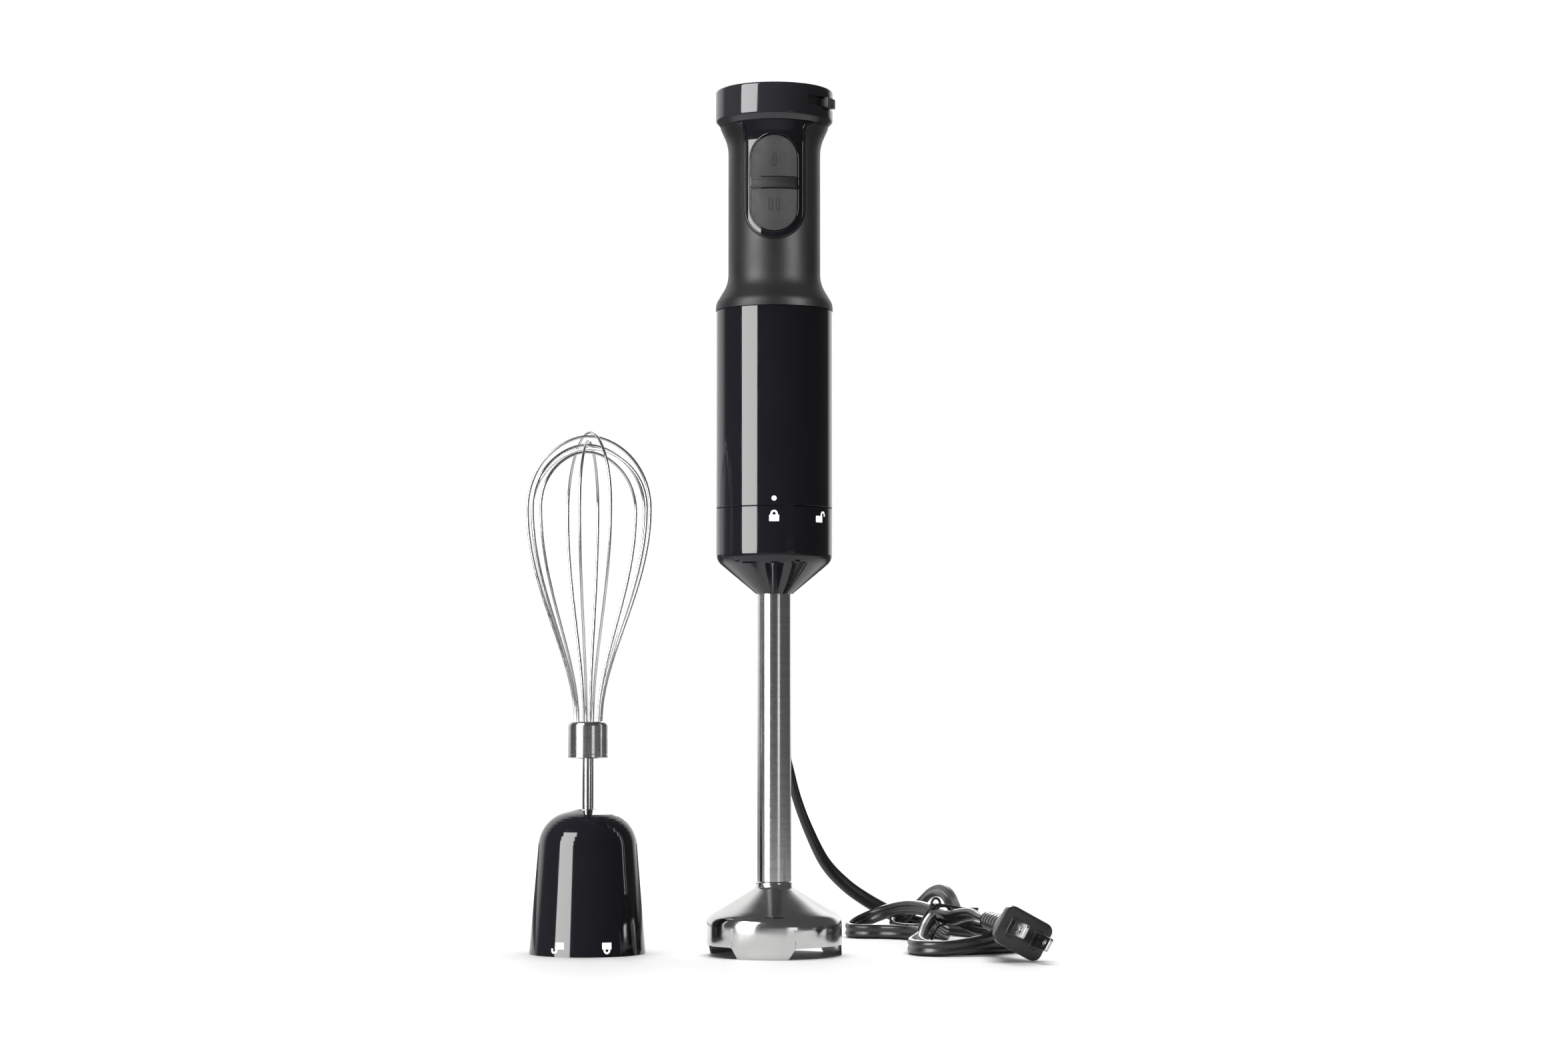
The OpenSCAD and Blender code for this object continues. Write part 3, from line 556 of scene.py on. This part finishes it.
def softbox(name, azimuth, distance, height, width, tall, radiance):
    """A light aimed at the object; azimuth is from the front towards +X."""
    turn = math.radians(azimuth)
    place = Vector((math.sin(turn) * distance, -math.cos(turn) * distance, height))
    light = area_light(name, place, width, tall, radiance)
    aim = Vector((0, 0, max(0.15, height - 0.35))) - place
    light.rotation_euler = aim.to_track_quat("-Z", "Y").to_euler()
    return light


def light_only(light, things, keep=True):
    """Let a light reach only these things, or everything but them."""
    chosen = bpy.data.collections.new(light.name + "_on")
    for thing in things:
        chosen.objects.link(thing)
    for entry in chosen.collection_objects:
        entry.light_linking.link_state = "INCLUDE" if keep else "EXCLUDE"
    light.light_linking.receiver_collection = chosen


def make_lights(floor, marks):
    key = softbox("key_light", azimuth=-50, distance=1.5, height=0.75,
                  width=0.93, tall=1.5, radiance=11.5)
    light_only(key, [floor], keep=False)
    low = softbox("low_card", azimuth=31, distance=2.2, height=0.13,
                  width=0.6, tall=0.26, radiance=1.9)
    light_only(low, [floor, frame["nodes"]["gear_dome"]], keep=False)
    card = softbox("grip_card", azimuth=47, distance=1.5, height=0.75,
                   width=0.8, tall=1.3, radiance=9.0)
    matte = ("grip_sleeve", "button_low", "button_high")
    light_only(card, [frame["nodes"][name] for name in matte] + marks)
    edge = softbox("edge_card", azimuth=153, distance=1.6, height=0.6,
                   width=0.5, tall=1.3, radiance=0.22)
    light_only(edge, [floor], keep=False)
    back = softbox("back_light", azimuth=180, distance=1.6, height=0.6,
                   width=0.24, tall=1.3, radiance=7.0)
    light_only(back, [floor], keep=False)
    top = area_light("top_light", (0.0, 0.2, 1.9), width=1.8, tall=1.6, radiance=5.6)
    top.visible_glossy = False


def make_world():
    """White all round for the camera; a white room behind and a dim one in front."""
    front_level = 0.1
    back_level = 1.15
    ramp_from = 0.5
    ramp_to = 0.75
    lean_left = -0.16
    world = bpy.data.worlds.new("studio")
    bpy.context.scene.world = world
    world.use_nodes = True
    nodes = world.node_tree.nodes
    links = world.node_tree.links
    back = nodes["Background"]
    coords = nodes.new("ShaderNodeTexCoord")
    split = nodes.new("ShaderNodeSeparateXYZ")
    links.new(coords.outputs["Generated"], split.inputs["Vector"])
    behind = nodes.new("ShaderNodeMapRange")
    behind.interpolation_type = "SMOOTHSTEP"
    behind.inputs["From Min"].default_value = ramp_from
    behind.inputs["From Max"].default_value = ramp_to
    behind.inputs["To Min"].default_value = front_level
    behind.inputs["To Max"].default_value = back_level
    lean = nodes.new("ShaderNodeMath")
    lean.operation = "MULTIPLY_ADD"
    lean.inputs[1].default_value = lean_left
    links.new(split.outputs["X"], lean.inputs[0])
    links.new(split.outputs["Y"], lean.inputs[2])
    links.new(lean.outputs["Value"], behind.inputs["Value"])
    sight = nodes.new("ShaderNodeLightPath")
    level = nodes.new("ShaderNodeMix")
    links.new(sight.outputs["Is Camera Ray"], level.inputs["Factor"])
    links.new(behind.outputs["Result"], level.inputs["A"])
    level.inputs["B"].default_value = 1.0
    links.new(level.outputs["Result"], back.inputs["Strength"])
    back.inputs["Color"].default_value = (1, 1, 1, 1)


# ----------------------------------------------------------------- the lead

# The whole lead in millimetres: the drop from the boot to the floor, the flat
# loops, the loop that stands up, and the run to the plug. lead_sides gives the
# direction that the flat lead's width points in at each point.
LEAD_DROP = (
    (0, 54, 377.5), (0, 62, 374), (0, 72, 366), (0, 83, 349), (0, 91, 325),
    (0, 98, 285), (0, 103, 240), (0, 107, 200), (0, 111, 160), (1, 115, 130),
    (3, 119, 101), (7, 123, 84), (11, 126, 68), (17, 130, 52), (25, 134, 36),
    (35, 137, 25), (46, 139, 17), (58, 139, 10.5),
)
LEAD_FIRST_LOOP = (
    (70, 136, 6), (83, 128, 4), (95, 115, 3.6), (105, 98, 3.6), (112, 79, 3.6),
    (116, 60, 3.6), (118, 42, 3.6), (117, 27, 3.6), (111, 14, 3.6),
    (103, 5.5, 3.6), (94, 0.5, 3.6), (85, -3.5, 3.6), (77, -5, 3.6),
    (70.5, -1.5, 3.6), (67.5, 7, 4.8), (68.5, 18, 7), (70.5, 29, 10),
    (73, 41, 12.2), (75, 51, 12.8), (75.5, 60, 11.5), (78.5, 70, 7.2),
    (82, 81, 4.8), (83.5, 92, 3.6), (80, 102, 3.6), (72, 107.5, 3.6),
    (64, 111.5, 3.6),
)
LEAD_STANDING_LOOP = (
    (59, 118, 4.2), (59.5, 127, 6), (66, 131, 10), (72, 127, 15.5),
    (77, 118, 21.5), (81, 108, 23.5), (84.5, 97, 22), (87, 86, 17),
    (89.5, 75, 12), (96, 62, 8.5),
)
LEAD_SECOND_LOOP = (
    (102, 50, 8), (107, 38, 9), (111, 26, 11), (113, 15, 11.5), (110, 6, 10.5),
    (104, 0, 8.5), (97, -4.5, 6.6), (88, -8.5, 5), (78, -10, 3.8),
    (69, -7, 3.6), (64, 1.5, 3.6), (63.5, 15, 3.6), (66, 29, 4), (69, 42, 4.8),
    (71.5, 56, 5.3), (73, 71, 4.6), (70.5, 86, 3.6), (64, 97, 3.6),
    (54, 103, 3.6), (45, 104.5, 3.6), (38.5, 108.5, 3.6), (36.5, 116.5, 4),
    (40, 125, 5.8), (48, 129, 9),
)
LEAD_TO_PLUG = (
    (57, 124, 12.5), (65, 111, 15), (71.5, 95, 15.5), (76.5, 78, 14.8),
    (80.5, 62, 14), (84, 49, 13.8), (88, 37, 15.8), (92.7, 24, 17.2),
    (96, 13, 16.2), (98.2, 4.3, 15.6),
)


def lead_sides():
    """The direction of the flat lead's width at each of the route's points."""
    on_edge = (0.0, 0.0, 1.0)
    drop = [(1.0, 0.0, 0.0)] * 3 + [(0.8, 0.5, 0.0)] * 2 + [(0.25, 0.97, 0.0)] * 7
    drop += [(0.3, 0.9, 0.2), (0.35, 0.8, 0.4), (0.35, 0.6, 0.6), (0.3, 0.3, 0.8)]
    drop += [(0.15, 0.15, 0.9), on_edge]
    standing = [on_edge, (0.0, 0.3, 0.9), (0.0, 0.5, 0.8), (0.0, 0.7, 0.65)]
    standing += [(0.1, 0.8, 0.5)] * 3
    standing += [(0.1, 0.7, 0.6), (0.05, 0.4, 0.85), on_edge]
    to_plug = [on_edge] * 5
    to_plug += [(-0.2, 0.0, 0.95), (-0.45, -0.1, 0.85), (-0.7, -0.2, 0.65)]
    to_plug += [(-0.84, -0.27, 0.47), (-0.84, -0.27, 0.47)]
    sides = drop + [on_edge] * len(LEAD_FIRST_LOOP) + standing
    sides += [on_edge] * len(LEAD_SECOND_LOOP) + to_plug
    return [Vector(side) for side in sides]


def twin_section(width):
    """Two round cores side by side with a groove between them."""
    core = width * 0.257
    offset = width / 2 - core
    sweep = 126
    steps = 6
    half = []
    for step in range(steps + 1):
        turn = math.radians(-sweep + 2 * sweep / steps * step)
        half.append((offset + core * math.cos(turn), core * math.sin(turn)))
    other = [(-a, -b) for a, b in half]
    groove = core * 0.56
    return [(0.0, -groove)] + half + [(0.0, groove)] + other


def make_lead():
    route = LEAD_DROP + LEAD_FIRST_LOOP + LEAD_STANDING_LOOP
    route = route + LEAD_SECOND_LOOP + LEAD_TO_PLUG
    points = smooth([mm(*point) for point in route], LEAD_STEPS)
    sides = smooth(lead_sides(), LEAD_STEPS)
    section = twin_section(LEAD_W * MM)
    mesh = swept_mesh("lead", points, sides, section)
    lead = add_piece("lead", mesh, "motor_unit", MATS["lead_pvc"])
    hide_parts("cord_lead", "cord_bundle")
    length = sum((b - a).length for a, b in zip(points, points[1:]))
    return lead, points, length


def tie_band():
    """The wire's turn round the strands."""
    ring = (
        (69.2, 1.2), (74.0, 1.1), (75.6, 4.0), (78.5, 9.0), (83.6, 11.0),
        (84.8, 15.5), (82.2, 18.6), (77.5, 18.4), (74.0, 17.4), (71.2, 13.0),
        (68.6, 6.0),
    )
    corners = [mm(x, 59.0 - 0.22 * (x - 76), z) for x, z in ring]
    lead_in = 2
    looped = corners[-lead_in:] + corners + corners[:lead_in + 1]
    line = smooth(looped, TIE_STEPS)
    start = lead_in * TIE_STEPS
    points = line[start:start + TIE_STEPS * len(corners)]
    across = carried(points, (0, 1, 0), True)
    section = [(a * 1.5, b) for a, b in round_section(0.6 * MM, 10)]
    return swept_mesh("tie_band", points, across, section, closed=True)


def tie_twist():
    """The two ends twisted round each other, an eye and a loose tail."""
    stem = [mm(74.6, 57.4, 17.6), mm(74.9, 56.6, 18.6), mm(75.2, 56.0, 19.4)]
    eye = []
    for step in range(11):
        turn = math.radians(-120 + 36 * step)
        eye.append(mm(76.9 + 2.0 * math.cos(turn), 55.6 - 0.04 * step,
                      20.2 + 2.5 * math.sin(turn)))
    tail = [mm(76.6, 54.6, 19.6), mm(80.4, 54.0, 19.5), mm(84.5, 53.4, 18.9)]
    tail += [mm(88.5, 52.8, 18.2), mm(93.0, 52.2, 17.9), mm(97.0, 51.8, 17.8)]
    points = smooth(stem + eye + tail, TIE_STEPS)
    across = carried(points, (0, 1, 0))
    return swept_mesh("tie_twist", points, across, round_section(0.62 * MM, 10))


def tie_wrap():
    """Three tight turns where the ends come together."""
    points = []
    for step in range(37):
        turn = math.radians(30 * step)
        points.append(mm(74.7 + 0.02 * step + 1.15 * math.cos(turn),
                         57.0 - 0.02 * step + 1.15 * math.sin(turn),
                         17.2 + 0.075 * step))
    across = carried(points, (0, 0, 1))
    return swept_mesh("tie_wrap", points, across, round_section(0.5 * MM, 8))


def make_tie():
    meshes = (tie_band(), tie_twist(), tie_wrap())
    pieces = [
        add_piece(mesh.name, mesh, "motor_unit", MATS["tie_plastic"])
        for mesh in meshes
    ]
    for piece in pieces:
        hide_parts("cord_tie")
    return pieces


def declare_lead():
    lead, points, length = make_lead()
    plug = [make_plug(), prong_collar(1, -1), prong_collar(2, 1)]
    plug.append(frame["nodes"]["plug_prongs"])


# -------------------------------------------------------------- whisk wires

# Each wire loop's turn about the axis in degrees and the height of its crown
LOOPS = (
    (-66, 241.8), (3, 239.9), (-95, 237.7), (28, 235.8), (-18, 234.2), (43, 232.5),
)


def bezier(corners, t):
    a, b, c, d = [Vector(corner) for corner in corners]
    s = 1 - t
    return a * s ** 3 + b * (3 * s * s * t) + c * (3 * s * t * t) + d * t ** 3


def loop_side(crown):
    """One side of a wire loop, from its hole in the ferrule to its crown."""
    foot = 6.0
    top = 107.0
    belly = 205.7
    cage = 28.6
    tallest = 36.3
    shoulder = belly + 23.2 * (crown - belly) / tallest
    low = ((foot, top), (foot, top + 30), (cage, belly - 37.6), (cage, belly))
    high = ((cage, belly), (cage, shoulder), (12, crown), (0, crown))
    side = [Vector((foot, top - 5.5))]
    side += [bezier(low, i / 24) for i in range(24)]
    side += [bezier(high, i / 20) for i in range(21)]
    return side


def wire_loop(index, turn, crown):
    side = loop_side(crown)
    flat = side + [Vector((-p.x, p.y)) for p in reversed(side[:-1])]
    turned = Matrix.Rotation(math.radians(turn), 4, "Z")
    at = mm(*WHISK_AT)
    points = [at + turned @ mm(p.x, 0, p.y) for p in flat]
    across = carried(points, turned @ Vector((0, 1, 0)))
    name = "whisk_wire_%d" % (index + 1)
    mesh = swept_mesh(name, points, across, round_section(WIRE_R * MM, 12))
    wire = add_piece(name, mesh, "whisk", MATS["spring_steel"])
    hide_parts("whisk_wires")


def make_wires():
    for index, (turn, crown) in enumerate(LOOPS):
        wire_loop(index, turn, crown)


# ------------------------------------------------------------ printed marks

def wrap(mesh, radius, turn, height, centre):
    """Bends a flat drawing round the housing, or round the tapered dome."""
    taper = DOME_TAPER if centre == WHISK_AT[:2] else 0.0
    for vert in mesh.vertices:
        angle = math.radians(turn) + vert.co.x / radius
        out = radius + vert.co.z - taper * (height + vert.co.y)
        vert.co = mm(
            centre[0] + out * math.sin(angle),
            centre[1] - out * math.cos(angle),
            height + vert.co.y,
        )


def draw_strip(bm, outer, inner):
    """A band between two lines of points, raised a little."""
    rows = []
    for line in (outer, inner):
        rows.append([bm.verts.new((x, y, 0.05)) for x, y in line])
    for i in range(len(outer) - 1):
        bm.faces.new((rows[0][i], rows[0][i + 1], rows[1][i + 1], rows[1][i]))


def draw_arc(bm, centre, r_in, r_out, start, end, steps=16):
    turns = [math.radians(start + (end - start) * i / steps) for i in range(steps + 1)]
    x, y = centre
    outer = [(x + r_out * math.cos(a), y + r_out * math.sin(a)) for a in turns]
    inner = [(x + r_in * math.cos(a), y + r_in * math.sin(a)) for a in turns]
    draw_strip(bm, outer, inner)


def draw_bar(bm, x0, x1, y0, y1, steps=8):
    across = [x0 + (x1 - x0) * i / steps for i in range(steps + 1)]
    draw_strip(bm, [(x, y1) for x in across], [(x, y0) for x in across])


def draw_padlock(bm, is_open, way):
    """A padlock 5.2 high, upright for a way of 1 and upside-down for -1."""
    body_half = 2.25
    hoop_in = 0.75
    hoop_out = 1.65
    foot = 2.8 * way
    leg = 3.5 * way
    draw_bar(bm, -body_half, body_half, 0.0, 3.0 * way)
    shift = 2.75 * way if is_open else 0.0
    draw_arc(bm, (shift, leg), hoop_in, hoop_out, 0, 180 * way)
    draw_bar(bm, shift - hoop_out, shift - hoop_in, foot, leg, 3)
    draw_bar(bm, shift + hoop_in, shift + hoop_out, foot, leg, 3)


def printed(name, draw, radius, turn, height, centre, body):
    """A drawing printed on a round wall, as a thin layer of ink."""
    bm = bmesh.new()
    draw(bm)
    bmesh.ops.remove_doubles(bm, verts=bm.verts, dist=0.0005)
    bmesh.ops.recalc_face_normals(bm, faces=bm.faces)
    mesh = bpy.data.meshes.new(name)
    bm.to_mesh(mesh)
    bm.free()
    wrap(mesh, radius, turn, height, centre)
    piece = add_piece(name, mesh, body, MATS["white_print"])
    skin = piece.modifiers.new("ink", "SOLIDIFY")
    skin.thickness = 0.00006
    return piece


def draw_dot(bm):
    draw_arc(bm, (0, 0), 0.01, 1.15, 0, 360, 28)


def draw_locked(bm):
    draw_padlock(bm, False, 1)


def draw_unlocked(bm):
    draw_padlock(bm, True, 1)


def draw_locked_down(bm):
    draw_padlock(bm, False, -1)


def draw_unlocked_down(bm):
    draw_padlock(bm, True, -1)


def make_marks():
    """Name, drawing, turn and height of each mark, and what it is printed on."""
    axis = (0.0, 0.0)
    whisk = WHISK_AT[:2]
    rows = (
        ("mark_dot", draw_dot, 0, 208.4, axis, "motor_unit"),
        ("mark_locked", draw_locked, 0, 197.9, axis, "wand"),
        ("mark_open", draw_unlocked, 50, 197.9, axis, "wand"),
        ("mark_whisk_open", draw_unlocked_down, -25, 6.6, whisk, "attachment"),
        ("mark_whisk_locked", draw_locked_down, 23, 6.6, whisk, "attachment"),
    )
    return [
        printed(name, draw, BODY_R, turn, height, centre, body)
        for name, draw, turn, height, centre, body in rows
    ]


def stadium_line(half, low, high, steps=10):
    """An upright rounded slot's outline, as x and z."""
    line = []
    for centre, start in ((high - half, 0), (low + half, 180)):
        for i in range(steps + 1):
            turn = math.radians(start + 180 * i / steps)
            line.append((half * math.cos(turn), centre + half * math.sin(turn)))
    return line


def numeral_bar(name, x, low, high, body):
    """One bar of a button's numeral, a raised rounded outline."""
    points = []
    for u, z in stadium_line(0.75, low, high):
        angle = (x + u) / BUTTON_R
        points.append(mm(BUTTON_R * math.sin(angle), -BUTTON_R * math.cos(angle), z))
    across = carried(points, (0, 1, 0), True)
    mesh = swept_mesh(name, points, across, round_section(0.16 * MM, 8), closed=True)
    add_piece(name, mesh, body, MATS["button_matte"])


def make_numerals():
    apart = 1.7
    low = 341.3
    high = 347.0
    numeral_bar("numeral_one", 0.0, 361.8, 367.4, "high_button")
    numeral_bar("numeral_two_left", -apart, low, high, "low_button")
    numeral_bar("numeral_two_right", apart, low, high, "low_button")


# ------------------------------------------------------------ control panel

def surface_of(name):
    """A search for the front of a node, at an x and a z in millimetres."""
    mesh = frame["nodes"][name].data
    corners = [vert.co for vert in mesh.vertices]
    tree = BVHTree.FromPolygons(corners, [face.vertices for face in mesh.polygons])

    def find(x, z):
        return tree.ray_cast(mm(x, -100, z), Vector((0, 1, 0)))[0]

    return find


def panel_edge(grow):
    """The panel's outline as x and z, grown outwards by so much."""
    hw = PANEL_HW + grow
    foot = GRIP_Z + PANEL_LOW + PANEL_HW
    top = GRIP_Z + GRIP_H - PANEL_FLARE
    bend = PANEL_FLARE - grow
    side = []
    for step in range(13):
        turn = math.radians(-90 + 90 * step / 12)
        side.append((hw * math.cos(turn), foot + hw * math.sin(turn)))
    for step in range(1, 18):
        side.append((hw, foot + (top - foot) * step / 18))
    for step in range(10):
        turn = math.radians(180 - 9.4 * step)
        side.append((PANEL_HW + PANEL_FLARE + bend * math.cos(turn),
                     top + bend * math.sin(turn)))
    return [(-x, z) for x, z in reversed(side[1:])] + side


def rim(name, outline, node, radius, body, material, closed=False):
    """A raised bead along an outline on the front of a node."""
    find = surface_of(node)
    points = [find(x, z) for x, z in outline]
    points = [point for point in points if point is not None]
    across = carried(points, (0, 1, 0), closed)
    section = round_section(radius * MM, 8)
    mesh = swept_mesh(name, points, across, section, closed)
    add_piece(name, mesh, body, MATS[material])


def filled_line(outline, pitch):
    """The same closed outline with its long straights divided."""
    line = []
    for (x0, z0), (x1, z1) in zip(outline, outline[1:] + outline[:1]):
        count = max(1, round(math.hypot(x1 - x0, z1 - z0) / pitch))
        for step in range(count):
            t = step / count
            line.append((x0 + (x1 - x0) * t, z0 + (z1 - z0) * t))
    return line


def make_rims():
    """Beads round the panel, along the grip beside it and round the opening."""
    gap = 0.45
    rim("panel_rim", panel_edge(-0.5), "control_panel", 0.42,
        "motor_unit", "gloss_black")
    rim("grip_rim", panel_edge(0.35), "grip_sleeve", 0.25,
        "motor_unit", "grip_rubber")
    opening = stadium_line(OPENING_HW + gap, GRIP_Z + OPENING_LOW - gap,
                           GRIP_Z + OPENING_HIGH + gap, 14)
    rim("opening_rim", filled_line(opening, 2.0), "control_panel", 0.34,
        "motor_unit", "gloss_black", True)


def make_thumb_bar():
    """The hollowed bar between the two buttons, with a lip at its foot."""
    half_width = 10.55
    middle = 354.15
    half_steps = 12
    reach = math.asin(half_width / BUTTON_R)
    points = []
    across = []
    for step in range(2 * half_steps + 1):
        turn = reach * (step / half_steps - 1)
        out = Vector((math.sin(turn), -math.cos(turn), 0))
        points.append(mm(0, 0, middle) + out * BUTTON_R * MM)
        across.append(out)
    profile = (
        (-0.6, 2.5), (0.5, 2.5), (0.75, 2.25), (0.7, 1.8), (0.25, 1.0), (0.1, 0.0),
        (0.12, -1.0), (0.3, -1.9), (0.42, -2.25), (0.3, -2.5), (-0.6, -2.5),
    )
    section = [(a * MM, b * MM) for a, b in profile]
    mesh = swept_mesh("thumb_bar", points, across, section)
    add_piece("thumb_bar", mesh, "motor_unit", MATS["button_matte"])


# ----------------------------------------------------------------- the plug

def plug_frame():
    """The plug's place and turn; its face points along its own +Z."""
    turn = Matrix.Rotation(math.radians(PLUG_TURN), 4, "Z")
    tip = Matrix.Rotation(math.radians(90 + PLUG_TIP), 4, "X")
    roll = Matrix.Rotation(math.radians(PLUG_ROLL), 4, "Z")
    return Matrix.Translation(mm(*PLUG_AT)) @ turn @ tip @ roll


def rounded_ring(width, tall, radius, steps=8):
    """A rounded rectangle's outline, in millimetres, corner by corner."""
    ring = []
    for corner, (sx, sy) in enumerate(((1, 1), (-1, 1), (-1, -1), (1, -1))):
        cx = sx * (width / 2 - radius)
        cy = sy * (tall / 2 - radius)
        for i in range(steps + 1):
            turn = math.radians(90 * corner + 90 * i / steps)
            ring.append((cx + radius * math.cos(turn), cy + radius * math.sin(turn)))
    return ring


def plug_sections():
    """Width, height, corner radius and place of each section, face first."""
    yield 22.7, 16.6, 3.3, 0.0
    yield 23.7, 17.6, 3.7, -0.15
    yield 24.2, 18.1, 3.9, -0.6
    yield 24.3, 18.2, 4.0, -1.2
    yield 24.3, 18.2, 4.0, -4.2
    yield 24.0, 17.9, 3.9, -4.7
    yield 23.2, 17.2, 3.8, -5.0
    yield 22.0, 16.2, 4.0, -5.15
    yield 21.4, 15.8, 4.2, -5.6
    yield 21.0, 15.5, 4.5, -9.0
    yield 19.4, 14.6, 4.8, -13.0
    yield 16.2, 12.8, 4.9, -17.5
    yield 13.0, 11.2, 4.9, -21.0
    yield 11.0, 10.2, 4.8, -23.5
    ribs = 6
    pitch = 4.0
    shrink = 0.34
    for rib in range(ribs):
        start = -24.5 - pitch * rib
        size = 10.0 - shrink * rib
        yield size, size, size * 0.48, start
        yield size - 0.1, size - 0.1, size * 0.47, start - 2.3
        yield size - 1.9, size - 1.9, size * 0.38, start - 2.6
        yield size - 1.9, size - 1.9, size * 0.38, start - 3.6
    yield 8.1, 8.1, 3.9, -48.2
    yield 7.6, 7.6, 3.7, -48.9


def make_plug():
    place = plug_frame()
    bm = bmesh.new()
    rings = []
    for width, tall, radius, at in plug_sections():
        ring = rounded_ring(width, tall, radius)
        rings.append([bm.verts.new(place @ mm(x, y, at)) for x, y in ring])
    for low, high in zip(rings, rings[1:]):
        for i in range(len(low)):
            j = (i + 1) % len(low)
            bm.faces.new((low[i], low[j], high[j], high[i]))
    bm.faces.new(rings[0])
    bm.faces.new(rings[-1])
    bmesh.ops.recalc_face_normals(bm, faces=bm.faces)
    for face in bm.faces:
        face.smooth = len(face.verts) == 4
    mesh = bpy.data.meshes.new("plug_shell")
    bm.to_mesh(mesh)
    bm.free()
    mesh.set_sharp_from_angle(angle=math.radians(40))
    shell = add_piece("plug_shell", mesh, "motor_unit", MATS["plug_pvc"])
    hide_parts("plug_body")
    return shell


def prong_collar(index, side):
    """A raised frame that the prong comes out of."""
    place = plug_frame()
    ring = rounded_ring(3.6, 8.8, 1.0, 4)
    points = [place @ mm(x + side * PRONG_OUT, y, 0.05) for x, y in ring]
    across = carried(points, place.to_3x3() @ Vector((0, 0, 1)), True)
    name = "prong_collar_%d" % index
    mesh = swept_mesh(name, points, across, round_section(0.3 * MM, 8), True)
    return add_piece(name, mesh, "motor_unit", MATS["plug_pvc"])


# ------------------------------------------------------------------- finish


def main():
    bpy.context.scene.view_settings.view_transform = "Standard"
    make_camera()
    floor = make_floor()
    make_world()
    dress_nodes()
    soften_edges()
    ties = make_tie()
    declare_lead()
    make_wires()
    make_lights(floor, make_marks())
    make_numerals()
    make_rims()
    make_thumb_bar()


main()
